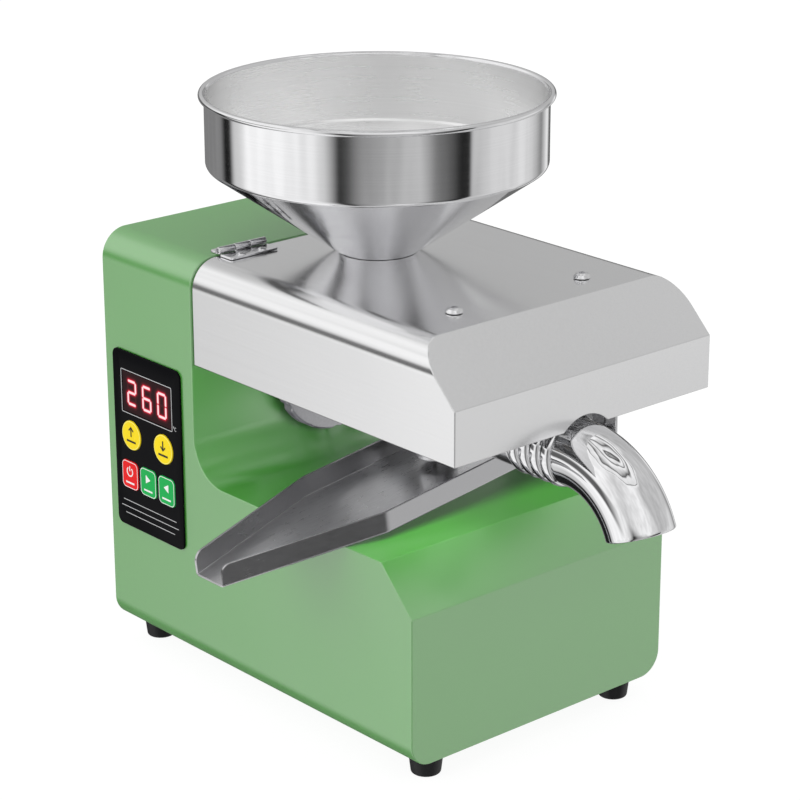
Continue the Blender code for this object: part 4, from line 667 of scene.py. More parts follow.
class NodeSheet:
    """A node tree that is being drawn."""

    def __init__(self, tree: bpy.types.NodeTree) -> None:
        """Start on a tree."""
        self.tree = tree

    def add(self, kind: str, inputs: dict | None = None, **settings: object) -> bpy.types.Node:
        """A node with its settings and inputs.

        Args:
            kind: the node's type name.
            inputs: a value or an output socket for each input, by name or number.
            settings: the node's own properties.

        Returns:
            The node.
        """
        node = self.tree.nodes.new(kind)
        for name, value in settings.items():
            setattr(node, name, value)
        for key, value in (inputs or {}).items():
            if isinstance(value, bpy.types.NodeSocket):
                self.tree.links.new(value, node.inputs[key])
            else:
                node.inputs[key].default_value = value
        return node

    def math(self, operation: str, *values: object) -> bpy.types.NodeSocket:
        """The result of a Math node."""
        return self.add("ShaderNodeMath", dict(enumerate(values)), operation=operation).outputs[0]

    def vector(self, operation: str, *values: object) -> bpy.types.Node:
        """A Vector Math node."""
        return self.add("ShaderNodeVectorMath", dict(enumerate(values)), operation=operation)

    def ranged(
        self, value: object, source: tuple[float, float], target: tuple[float, float], smooth: bool = False
    ) -> bpy.types.NodeSocket:
        """A value carried from one range to another.

        Args:
            value: the value or socket.
            source: the two ends of its range.
            target: what the two ends become.
            smooth: whether it eases in and out.

        Returns:
            The result's socket.
        """
        node = self.add(
            "ShaderNodeMapRange",
            {"Value": value, "From Min": source[0], "From Max": source[1], "To Min": target[0],
             "To Max": target[1]},
            interpolation_type="SMOOTHSTEP" if smooth else "LINEAR",
        )
        return node.outputs["Result"]

    def ramp(
        self, value: object, stops: list[tuple[float, tuple[float, float, float]]], ease: str = "LINEAR"
    ) -> bpy.types.NodeSocket:
        """A colour looked up along a ramp.

        Args:
            value: the place on the ramp, from 0 to 1.
            stops: the places and their colours, in order.
            ease: how the colours run into each other.

        Returns:
            The colour's socket.
        """
        node = self.add("ShaderNodeValToRGB", {"Fac": value})
        node.color_ramp.interpolation = ease
        elements = node.color_ramp.elements
        while len(elements) < len(stops):
            elements.new(1.0)
        for element, (place, colour) in zip(elements, stops):
            element.position = place
            element.color = (*colour, 1.0)
        return node.outputs["Color"]

    def mixed(self, share: object, first: object, second: object) -> bpy.types.NodeSocket:
        """Two colours mixed by a share."""
        node = self.add("ShaderNodeMix", data_type="RGBA")
        for number, value in ((0, share), (6, first), (7, second)):
            if isinstance(value, bpy.types.NodeSocket):
                self.tree.links.new(value, node.inputs[number])
            else:
                node.inputs[number].default_value = value
        return node.outputs[2]

    def tinted(self, share: object, first: object, second: object) -> bpy.types.NodeSocket:
        """The first colour multiplied by a share of the second."""
        node = self.add("ShaderNodeMix", data_type="RGBA", blend_type="MULTIPLY")
        if isinstance(share, bpy.types.NodeSocket):
            self.tree.links.new(share, node.inputs[0])
        else:
            node.inputs[0].default_value = share
        self.tree.links.new(first, node.inputs[6])
        self.tree.links.new(second, node.inputs[7])
        return node.outputs[2]

    def group(self, tree: bpy.types.NodeTree, **inputs: object) -> bpy.types.Node:
        """A placed node group with its values.

        Args:
            tree: the group.
            inputs: its inputs, with _ for each space in a name.

        Returns:
            The group's node.
        """
        node = self.add("ShaderNodeGroup", node_tree=tree)
        for name, value in inputs.items():
            socket = node.inputs[name.replace("_", " ")]
            if isinstance(value, bpy.types.NodeSocket):
                self.tree.links.new(value, socket)
            else:
                socket.default_value = value
        return node


def grey(value: float) -> tuple[float, float, float]:
    """A neutral colour."""
    return (value, value, value)


class Effects:
    """The shader groups that more than one finish uses, each built once."""

    def __init__(self) -> None:
        """Build the groups."""
        self.grain = self.fine_grain()
        self.brush = self.brushed()
        self.round_brush = self.round_brushed()
        self.edge_light = self.painted_edge_light()
        self.touch = self.smudges()

    def started(
        self, name: str, numbers: dict[str, float], outputs: list[str]
    ) -> tuple[bpy.types.NodeTree, NodeSheet, bpy.types.Node, bpy.types.Node]:
        """A group with a Vector input, some number inputs and number outputs.

        Args:
            name: the group's name.
            numbers: each number input and its first value.
            outputs: the names of the outputs.

        Returns:
            The tree, a sheet to draw it on, its input node and its output node.
        """
        tree = bpy.data.node_groups.new(name, "ShaderNodeTree")
        tree.interface.new_socket(name="Vector", in_out="INPUT", socket_type="NodeSocketVector")
        for key, value in numbers.items():
            socket = tree.interface.new_socket(name=key, in_out="INPUT", socket_type="NodeSocketFloat")
            socket.default_value = value
        for key in outputs:
            tree.interface.new_socket(name=key, in_out="OUTPUT", socket_type="NodeSocketFloat")
        sheet = NodeSheet(tree)
        return tree, sheet, sheet.add("NodeGroupInput"), sheet.add("NodeGroupOutput")

    def fine_grain(self) -> bpy.types.NodeTree:
        """Small even bumps, as sprayed paint or moulded plastic has."""
        tree, sheet, source, result = self.started(
            "fine_grain", {"Cells": 900.0, "Roughness": 0.4}, ["Height"]
        )
        noise = sheet.add(
            "ShaderNodeTexNoise",
            {"Vector": source.outputs["Vector"], "Scale": source.outputs["Cells"], "Detail": 2.0,
             "Roughness": source.outputs["Roughness"]},
        )
        tree.links.new(noise.outputs["Fac"], result.inputs["Height"])
        return tree

    def brushed(self) -> bpy.types.NodeTree:
        """Long streaks along one direction, as a belt leaves in sheet metal."""
        tree, sheet, source, result = self.started(
            "brushed", {"Along": 6.0, "Across": 900.0, "Turn": 0.0}, ["Streaks"]
        )
        turned = sheet.add(
            "ShaderNodeVectorRotate",
            {"Vector": source.outputs["Vector"], "Angle": source.outputs["Turn"]},
            rotation_type="Z_AXIS",
        )
        scale = sheet.add(
            "ShaderNodeCombineXYZ",
            {0: source.outputs["Along"], 1: source.outputs["Across"], 2: source.outputs["Across"]},
        )
        stretched = sheet.vector("MULTIPLY", turned.outputs[0], scale.outputs[0])
        noise = sheet.add(
            "ShaderNodeTexNoise",
            {"Vector": stretched.outputs[0], "Scale": 1.0, "Detail": 3.0, "Roughness": 0.65},
        )
        tree.links.new(noise.outputs["Fac"], result.inputs["Streaks"])
        return tree

    def round_brushed(self) -> bpy.types.NodeTree:
        """Fine lines round an upright axis, as turning leaves in a spun bowl."""
        tree, sheet, source, result = self.started("round_brushed", {"Lines": 900.0}, ["Streaks"])
        parts = sheet.add("ShaderNodeSeparateXYZ", {0: source.outputs["Vector"]})
        flat = sheet.add("ShaderNodeCombineXYZ", {0: parts.outputs[0], 1: parts.outputs[1]})
        radius = sheet.vector("LENGTH", flat.outputs[0]).outputs["Value"]
        across = sheet.add(
            "ShaderNodeCombineXYZ",
            {
                0: sheet.math("MULTIPLY", radius, source.outputs["Lines"]),
                1: sheet.math("MULTIPLY", parts.outputs[2], source.outputs["Lines"]),
            },
        )
        noise = sheet.add(
            "ShaderNodeTexNoise",
            {"Vector": across.outputs[0], "Scale": 1.0, "Detail": 2.0, "Roughness": 0.6},
        )
        tree.links.new(noise.outputs["Fac"], result.inputs["Streaks"])
        return tree

    def painted_edge_light(self) -> bpy.types.NodeTree:
        """A mask of convex edges, broken up by noise, along which finishes paint a highlight or a dark
        reflection line.
        """
        tree, sheet, source, result = self.started(
            "painted_edge_light", {"Radius": 0.001, "Patches": 120.0}, ["Edge"]
        )
        bevel = sheet.add("ShaderNodeBevel", {"Radius": source.outputs["Radius"]}, samples=4)
        plain = sheet.add("ShaderNodeNewGeometry")
        match = sheet.vector("DOT_PRODUCT", bevel.outputs[0], plain.outputs["Normal"]).outputs["Value"]
        edge = sheet.ranged(match, (0.995, 0.80), (0.0, 1.0))
        noise = sheet.add(
            "ShaderNodeTexNoise",
            {"Vector": source.outputs["Vector"], "Scale": source.outputs["Patches"], "Detail": 4.0},
        )
        broken = sheet.ranged(noise.outputs["Fac"], (0.35, 0.65), (0.35, 1.0))
        tree.links.new(sheet.math("MULTIPLY", edge, broken), result.inputs["Edge"])
        return tree

    def smudges(self) -> bpy.types.NodeTree:
        """Soft clouds of handling, and the slow waves that pressed sheet has."""
        tree, sheet, source, result = self.started(
            "smudges", {"Clouds": 16.0, "Waves": 7.0}, ["Cloud", "Wave"]
        )
        outputs = (("Cloud", "Clouds", 5.0), ("Wave", "Waves", 0.0))
        for output, scale, detail in outputs:
            noise = sheet.add(
                "ShaderNodeTexNoise",
                {"Vector": source.outputs["Vector"], "Scale": source.outputs[scale], "Detail": detail},
            )
            tree.links.new(noise.outputs["Fac"], result.inputs[output])
        return tree


class Lay(Enum):
    """Which way the grain of a metal runs."""

    ALONG_X = 0.0
    ALONG_Y = math.pi / 2
    ROUND = -1.0


class Dressing:
    """A new material with what each finish starts from."""

    def __init__(self, name: str, effects: Effects, **touch: float) -> None:
        """Open the material.

        Args:
            name: the material's name.
            effects: the shared shader groups.
            touch: inputs of the handling group other than its first values.
        """
        self.made = bpy.data.materials.new(name)
        self.made.use_nodes = True
        self.sheet = NodeSheet(self.made.node_tree)
        self.shader = self.made.node_tree.nodes["Principled BSDF"]
        self.place = self.sheet.add("ShaderNodeTexCoord").outputs["Object"]
        self.touch = self.sheet.group(effects.touch, Vector=self.place, **touch)

    def joined(self, **sockets: bpy.types.NodeSocket) -> None:
        """Link each socket to the shader's input of that name, with _ for each space."""
        for name, socket in sockets.items():
            self.sheet.tree.links.new(socket, self.shader.inputs[name.replace("_", " ")])

    def bumped(self, height: bpy.types.NodeSocket) -> bpy.types.NodeSocket:
        """The normal that a height in metres gives."""
        inputs = {"Height": height, "Distance": 1.0, "Strength": 1.0}
        return self.sheet.add("ShaderNodeBump", inputs).outputs[0]


def spread(colour: tuple[float, float, float], share: float) -> tuple[tuple[float, ...], ...]:
    """A colour darkened and lightened by a share."""
    lighter = tuple(min(1.0, part * (1 + share)) for part in colour)
    return tuple(part * (1 - share) for part in colour), lighter


@dataclass(frozen=True)
class Metal:
    """A bare metal: its polish, the grain in it and how it has been handled."""

    colour: tuple[float, float, float]
    roughness: float
    streak: float = 0.03
    lay: Lay = Lay.ALONG_X
    across: float = 900.0
    depth: float = 0.000002
    wave: float = 0.0
    waves: float = 9.0
    cloud: float = 0.03
    shade: float = 0.06
    centre: tuple[float, float, float] = (0.0, 0.0, 0.0)
    # fold: the radius of a near-black line painted along convex edges, a painted reflection of the dark
    # lines that the folds mirror.
    fold: float = 0.0
    metallic: float = 1.0

    def material(self, name: str, effects: Effects) -> bpy.types.Material:
        """The metal's material.

        Args:
            name: the material's name.
            effects: the shared shader groups.

        Returns:
            The material.
        """
        dressing = Dressing(name, effects, Waves=self.waves)
        sheet, place, touch = dressing.sheet, dressing.place, dressing.touch
        dressing.shader.inputs["Metallic"].default_value = self.metallic
        centred = sheet.add("ShaderNodeMapping", {"Vector": place, "Location": Vector(self.centre) * -1})
        if self.lay is Lay.ROUND:
            brush = sheet.group(effects.round_brush, Vector=centred.outputs[0], Lines=self.across)
        else:
            brush = sheet.group(
                effects.brush, Vector=centred.outputs[0], Across=self.across, Turn=self.lay.value
            )
        streaks = brush.outputs["Streaks"]
        dark, light = spread(self.colour, self.shade)
        tone = sheet.ramp(streaks, [(0.3, dark), (0.7, light)])
        # Painted reflection: near-black colour along convex edges stands in for the dark lines that the bent
        # folds mirror.
        if self.fold:
            edge_light = sheet.group(effects.edge_light, Vector=place, Radius=self.fold)
            tone = sheet.mixed(edge_light.outputs["Edge"], tone, (0.05, 0.05, 0.05, 1.0))
        grain = sheet.ranged(
            streaks, (0.3, 0.7), (self.roughness - self.streak, self.roughness + self.streak)
        )
        handled = sheet.ranged(touch.outputs["Cloud"], (0.45, 0.7), (0.0, self.cloud))
        height = sheet.math(
            "ADD",
            sheet.math("MULTIPLY", streaks, self.depth),
            sheet.math("MULTIPLY", touch.outputs["Wave"], self.wave),
        )
        rough = sheet.math("ADD", grain, handled)
        dressing.joined(Base_Color=tone, Roughness=rough, Normal=dressing.bumped(height))
        return dressing.made


@dataclass(frozen=True)
class Coating:
    """Paint, plastic, rubber or film: its colour, its gloss and its skin."""

    colour: tuple[float, float, float]
    roughness: float
    ior: float = 1.5
    cells: float = 900.0
    depth: float = 0.00001
    uneven: float = 0.04
    # edge and edge_radius: a lighter colour painted along convex edges, a painted highlight where the
    # rounded edges catch the light.
    edge: tuple[float, float, float] | None = None
    edge_radius: float = 0.0008
    sheen: float = 0.5

    def material(self, name: str, effects: Effects) -> bpy.types.Material:
        """The coating's material.

        Args:
            name: the material's name.
            effects: the shared shader groups.

        Returns:
            The material.
        """
        dressing = Dressing(name, effects)
        sheet, place, touch = dressing.sheet, dressing.place, dressing.touch
        dressing.shader.inputs["IOR"].default_value = self.ior
        dressing.shader.inputs["Specular IOR Level"].default_value = self.sheen
        skin = sheet.group(effects.grain, Vector=place, Cells=self.cells)
        dark, light = spread(self.colour, self.uneven)
        tone = sheet.ramp(touch.outputs["Cloud"], [(0.35, dark), (0.65, light)])
        # Painted highlight: the edge colour along convex edges stands in for the light that the rounded
        # edges catch.
        if self.edge is not None:
            edge_light = sheet.group(effects.edge_light, Vector=place, Radius=self.edge_radius)
            tone = sheet.mixed(edge_light.outputs["Edge"], tone, (*self.edge, 1.0))
        gloss = sheet.ranged(
            touch.outputs["Cloud"], (0.3, 0.7), (self.roughness * 0.92, self.roughness * 1.1)
        )
        height = sheet.math("MULTIPLY", skin.outputs["Height"], self.depth)
        dressing.joined(Base_Color=tone, Roughness=gloss, Normal=dressing.bumped(height))
        return dressing.made


@dataclass(frozen=True)
class LitDisplay:
    """The dark red window of the display, with its figures lit from behind."""

    reach: float = 3.0
    glow: float = 1.0
    roughness: float = 0.20
    sheen: float = 0.10

    def material(self, name: str, effects: Effects) -> bpy.types.Material:
        """The display's material, which reads how far each point is from a lit figure.

        Args:
            name: the material's name.
            effects: the shared shader groups.

        Returns:
            The material.
        """
        dressing = Dressing(name, effects)
        sheet = dressing.sheet
        dressing.shader.inputs["Roughness"].default_value = self.roughness
        dressing.shader.inputs["Specular IOR Level"].default_value = self.sheen
        lit = sheet.add("ShaderNodeAttribute", attribute_name="lit").outputs["Fac"]
        ghost = sheet.add("ShaderNodeAttribute", attribute_name="ghost").outputs["Fac"]
        figure = sheet.ramp(
            sheet.math("DIVIDE", lit, self.reach),
            [
                (0.0, (1.0, 0.86, 0.88)),
                (0.19, (1.0, 0.66, 0.70)),
                (0.25, (0.95, 0.03, 0.07)),
                (0.34, (0.45, 0.004, 0.02)),
                (0.55, (0.06, 0.001, 0.004)),
                (1.0, (0.004, 0.0, 0.0)),
            ],
        )
        unlit = sheet.ramp(
            sheet.math("DIVIDE", ghost, self.reach),
            [(0.0, (0.045, 0.004, 0.006)), (0.2, (0.03, 0.002, 0.004)), (0.3, (0.0, 0.0, 0.0))],
        )
        both = sheet.add("ShaderNodeMix", data_type="RGBA", blend_type="LIGHTEN")
        both.inputs[0].default_value = 1.0
        sheet.tree.links.new(figure, both.inputs[6])
        sheet.tree.links.new(unlit, both.inputs[7])
        dressing.shader.inputs["Emission Strength"].default_value = self.glow
        tone = sheet.ramp(
            dressing.touch.outputs["Cloud"], [(0.3, (0.010, 0.001, 0.002)), (0.7, (0.016, 0.001, 0.003))]
        )
        dressing.joined(Base_Color=tone, Emission_Color=both.outputs[2])
        return dressing.made


def finishes() -> dict[str, bpy.types.Material]:
    """Every material of the press, by name."""
    low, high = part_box("hopper")
    axis = ((low.x + high.x) / 2, (low.y + high.y) / 2, 0.0)
    key = {"cells": 1600.0, "depth": 0.000004, "uneven": 0.02, "sheen": 0.15}
    ink = {"cells": 2400.0, "depth": 0.000002}
    # Each edge colour below paints a highlight along convex edges, and each fold radius paints a dark
    # reflection line along them.
    kinds = {
        "green_paint": Coating(
            (0.060, 0.345, 0.032), 0.30, ior=3.4, cells=1500.0, depth=0.000004, uneven=0.015,
            edge=(0.20, 0.55, 0.15), edge_radius=0.0009,
        ),
        "stainless": Metal((0.80, 0.80, 0.81), 0.20),
        "hopper_steel": Metal(
            (0.86, 0.86, 0.87), 0.08, streak=0.015, lay=Lay.ROUND, centre=axis, across=1400.0,
            wave=0.00003, waves=10.0, shade=0.02, depth=0.0000002,
        ),
        "hopper_inside": Metal(
            (0.95, 0.95, 0.95), 0.27, streak=0.01, lay=Lay.ROUND, centre=axis, across=1400.0,
            wave=0.00010, waves=10.0, shade=0.02, depth=0.0, metallic=0.92,
        ),
        "cover_steel": Metal(
            (0.88, 0.88, 0.885), 0.17, streak=0.02, across=1100.0, wave=0.00008, waves=8.0, shade=0.015,
            depth=0.0000003, fold=0.0008,
        ),
        "bright_steel": Metal((0.86, 0.86, 0.87), 0.16, streak=0.03, depth=0.0000005, shade=0.03),
        "tray_steel": Metal(
            (0.80, 0.80, 0.81), 0.30, streak=0.04, lay=Lay.ALONG_Y, across=1000.0, wave=0.00012,
            shade=0.05, depth=0.0000004, fold=0.0004,
        ),
        # Painted shade: the tray's walls are the same sheet as its floor, given a darker copy of its steel
        # for the shade and dark reflections they show.
        "tray_wall_painted_shade": Metal(
            (0.56, 0.56, 0.57), 0.24, streak=0.02, lay=Lay.ALONG_Y, across=700.0, wave=0.00012,
            shade=0.02, depth=0.0000001,
        ),
        "chrome": Metal(
            (0.88, 0.88, 0.89), 0.03, streak=0.005, across=200.0, depth=0.0, wave=0.00008, waves=14.0,
            cloud=0.01, shade=0.01,
        ),
        "steel": Metal((0.58, 0.58, 0.60), 0.36, streak=0.05, across=700.0, shade=0.08, depth=0.0000005),
        "aluminium": Metal((0.66, 0.67, 0.69), 0.38, streak=0.08, across=600.0, shade=0.10, depth=0.000001),
        "zinc": Metal(
            (0.56, 0.57, 0.59), 0.42, streak=0.06, across=160.0, shade=0.14, cloud=0.10, depth=0.000001,
        ),
        "brass": Metal((0.72, 0.50, 0.20), 0.28, streak=0.05, shade=0.10, depth=0.000001),
        "black_rubber": Coating(
            (0.008, 0.008, 0.009), 0.45, cells=1400.0, depth=0.00001, uneven=0.25,
            edge=(0.03, 0.03, 0.03), sheen=0.3,
        ),
        "black_plastic": Coating(
            (0.016, 0.016, 0.018), 0.42, cells=1800.0, depth=0.00002, uneven=0.12,
            edge=(0.05, 0.05, 0.055), edge_radius=0.0005,
        ),
        "white_nylon": Coating((0.74, 0.74, 0.70), 0.45, cells=700.0, uneven=0.03),
        "panel_film": Coating(
            (0.003, 0.003, 0.004), 0.30, cells=2200.0, depth=0.000003, uneven=0.10,
            edge=(0.02, 0.02, 0.022), edge_radius=0.0004, sheen=0.05,
        ),
        "board_green": Coating((0.02, 0.18, 0.07), 0.40, cells=500.0, uneven=0.15),
        "key_yellow": Coating((0.95, 0.72, 0.010), 0.28, **key),
        "key_red": Coating((0.80, 0.008, 0.010), 0.28, **key),
        "key_green": Coating((0.008, 0.42, 0.085), 0.28, **key),
        "white_print": Coating((0.90, 0.90, 0.90), 0.40, uneven=0.02, sheen=0.2, **ink),
        "grey_print": Coating((0.55, 0.55, 0.56), 0.40, uneven=0.05, sheen=0.1, **ink),
        "pale_yellow": Coating((0.95, 0.86, 0.22), 0.35, uneven=0.02, sheen=0.2, **ink),
        "black_print": Coating((0.01, 0.01, 0.01), 0.40, cells=2400.0, depth=0.000004, uneven=0.10),
        "display_red": LitDisplay(),
    }
    effects = Effects()
    return {name: kind.material(name, effects) for name, kind in kinds.items()}


# The painted casing and what closes it


@dataclass(frozen=True)
class Casing:
    """The folded and welded sheet shell."""

    sheet: float = 1.5
    tower_depth: float = 74.7
    deck_height: float = 101.3
    nose_height: float = 78.4
    nose_run: float = 22.0
    top_radius: float = 15.0
    bottom_radius: float = 12.5
    recess_radius: float = 22.0
    floor_lip: float = 28.0
    floor_lip_side: float = 36.0
    window_margin: float = 4.8
    window_sill: float = 18.2
    window_height: float = 72.0
    wall_hole: float = 24.0
    edge: float = 0.6
    arc_steps: int = 24

    def side(self, low: np.ndarray, high: np.ndarray, depth: float) -> np.ndarray:
        """The casing seen from the side, at a depth inside its skin.

        Args:
            low: the casing's lowest corner.
            high: its highest corner.
            depth: how far inside.

        Returns:
            The outline in X and Z.
        """
        tower = low[0] + self.tower_depth
        deck = low[2] + self.deck_height
        corners = [
            (low[0], low[2]),
            (high[0], low[2]),
            (high[0], low[2] + self.nose_height),
            (high[0] - self.nose_run, deck),
            (tower, deck),
            (tower, high[2]),
            (low[0], high[2]),
        ]
        moved = inset(corners, depth)
        if depth:
            moved[[0, 6], 0] = low[0] - 5
        radii = [0, 0, 0, 0, self.recess_radius + depth, 0, 0]
        return rounded(moved, radii, self.arc_steps)

    def section(self, low: np.ndarray, high: np.ndarray, depth: float) -> np.ndarray:
        """The casing seen from the front, at a depth inside its skin.

        Args:
            low: the casing's lowest corner.
            high: its highest corner.
            depth: how far inside.

        Returns:
            The outline in Y and Z.
        """
        corners = inset([(low[1], low[2]), (high[1], low[2]), (high[1], high[2]), (low[1], high[2])], depth)
        bottom = self.bottom_radius - depth
        top = self.top_radius - depth
        return rounded(corners, [bottom, bottom, top, top], self.arc_steps)

    def build(self, shop: Workshop) -> None:
        """Make the shell and dress it.

        Args:
            shop: the workshop.
        """
        low, high = shop.bench.span("casing_shell")
        wide = (low[1] - 1, high[1] + 1)
        shell, hollow = (
            shop.crossed(
                name, self.side(low, high, depth), self.section(low, high, depth), wide,
                (low[0] - 1 - past, high[0] + 1),
            )
            for name, depth, past in (("casing_skin", 0, 0), ("hollow", self.sheet, 5))
        )
        half = high[1] - self.floor_lip_side
        floor = box(
            (low[0] + self.floor_lip, -half, low[2] - 1),
            (high[0] - self.floor_lip, half, low[2] + self.sheet + 1),
        )
        film = shop.bench.span("panel_overlay")
        sill = film[0][2] + self.window_sill
        window = box(
            (film[0][0] + self.window_margin, low[1] - 1, sill),
            (film[1][0] - self.window_margin, low[1] + self.sheet + 1, sill + self.window_height),
        )
        centre = (0.0, shop.bench.centre("press_barrel")[2])
        tower = low[0] + self.tower_depth
        hole = prism(circle(centre, self.wall_hole), Axis.X, tower - self.sheet - 1, tower + 1)
        shop.carved(shell, "DIFFERENCE", hollow)
        shop.cut(shell, floor, window, hole)
        shop.softened(shell, self.edge)
        shop.deliver(shell, "root", "green_paint", "casing_shell")
        shell.visible_glossy = False


@dataclass(frozen=True)
class Feet:
    """Four tapered rubber feet, each with a recess for the screw up its middle."""

    top_flare: float = 1.3
    lip: float = 1.0
    corner: float = 1.3
    screw_recess: float = 3.2
    recess_depth: float = 3.0

    def build(self, shop: Workshop) -> None:
        """Make the four feet.

        Args:
            shop: the workshop.
        """
        for end in ("front", "rear"):
            for side in ("right", "left"):
                node = f"foot_{end}_{side}"
                low, high = shop.bench.span(node)
                centre = shop.bench.centre(node)[:2]
                top = (high[0] - low[0]) / 2
                corners = [
                    (low[2] + self.recess_depth, 0.0),
                    (low[2] + self.recess_depth, self.screw_recess),
                    (low[2], self.screw_recess),
                    (low[2], top - self.top_flare),
                    (high[2] - self.lip, top - 0.1),
                    (high[2], top),
                    (high[2], 0.0),
                ]
                radii = [0, 0.3, 0.5, self.corner, 0.4, 0.4, 0]
                foot = shop.turned(node + "_moulded", corners, radii, 5, Axis.Z, centre, 64, False)
                shop.deliver(foot, "root", "black_rubber", node)


@dataclass(frozen=True)
class RearFittings:
    """The vented rear plate, the fan, the inlet, the switch and their screws."""

    moulded_edge: float = 0.45
    inlet_pitch: float = 19.6
    screw_head: float = 3.0
    screw_dome: float = 1.3
    plate_screws: tuple[tuple[float, float], ...] = (
        (-72.0, 28.0), (72.0, 28.0), (-74.0, 120.0), (74.0, 140.0), (-68.0, 214.0), (68.0, 214.0),
    )
    fan_pitch: float = 25.0

    def dome_screw(self, x: float, y: float, z: float, radius: float) -> Surface:
        """A pan-headed screw seen from behind.

        Args:
            x: the face that it sits on.
            y: its middle across.
            z: its height.
            radius: the head's radius.

        Returns:
            The head's surface with a shallow turned recess.
        """
        out = self.screw_dome
        corners = [(x, 0), (x, radius), (x - out * 0.6, radius * 0.9), (x - out, radius * 0.5),
                   (x - out, radius * 0.42), (x - out * 0.45, radius * 0.3), (x - out * 0.45, 0)]
        profile = rounded(corners, [0, 0.1, 0.4, 0.2, 0.1, 0.1, 0], 3, closed=False)
        return spun(profile, Axis.X, (y, z), 24, closed=False)

    def build(self, shop: Workshop) -> None:
        """Make what shows behind and below.

        Args:
            shop: the workshop.
        """
        copies = (
            ("rear_cover", "rear_cover_plate", "zinc", "root", 0.0),
            ("base_plate", "base_plate_vented", "zinc", "root", 0.0),
            ("power_inlet", "power_inlet_moulded", "black_plastic", "root", self.moulded_edge),
            ("switch_frame", "switch_frame_moulded", "black_plastic", "root", self.moulded_edge),
            ("rocker", "rocker_moulded", "black_plastic", "rocker", self.moulded_edge),
            ("fan_frame", "fan_frame_moulded", "black_plastic", "root", 0.0),
            ("fan_impeller", "fan_impeller_moulded", "black_plastic", "fan", 0.0),
        )
        for node, name, finish, body, edge in copies:
            item = shop.copied(node, name)
            if edge:
                shop.softened(item, edge, 2)
            shop.deliver(item, body, finish, node)
        face = shop.bench.span("rear_cover")[0][0]
        fan = shop.bench.centre("fan_frame")
        inlet = shop.bench.centre("power_inlet")
        inlet_face = shop.bench.span("power_inlet")[0][0]
        heads = [self.dome_screw(face, y, z, self.screw_head) for y, z in self.plate_screws]
        for way_y in (-1, 1):
            for way_z in (-1, 1):
                place = (fan[1] + way_y * self.fan_pitch, fan[2] + way_z * self.fan_pitch)
                heads.append(self.dome_screw(face, *place, self.screw_head * 0.9))
        for way in (-1, 1):
            z = inlet[2] + way * self.inlet_pitch
            heads.append(self.dome_screw(inlet_face, inlet[1], z, self.screw_head * 0.8))
        shop.deliver(shop.piece("rear_screws", sum(heads[1:], heads[0])), "root", "steel")


# The control panel


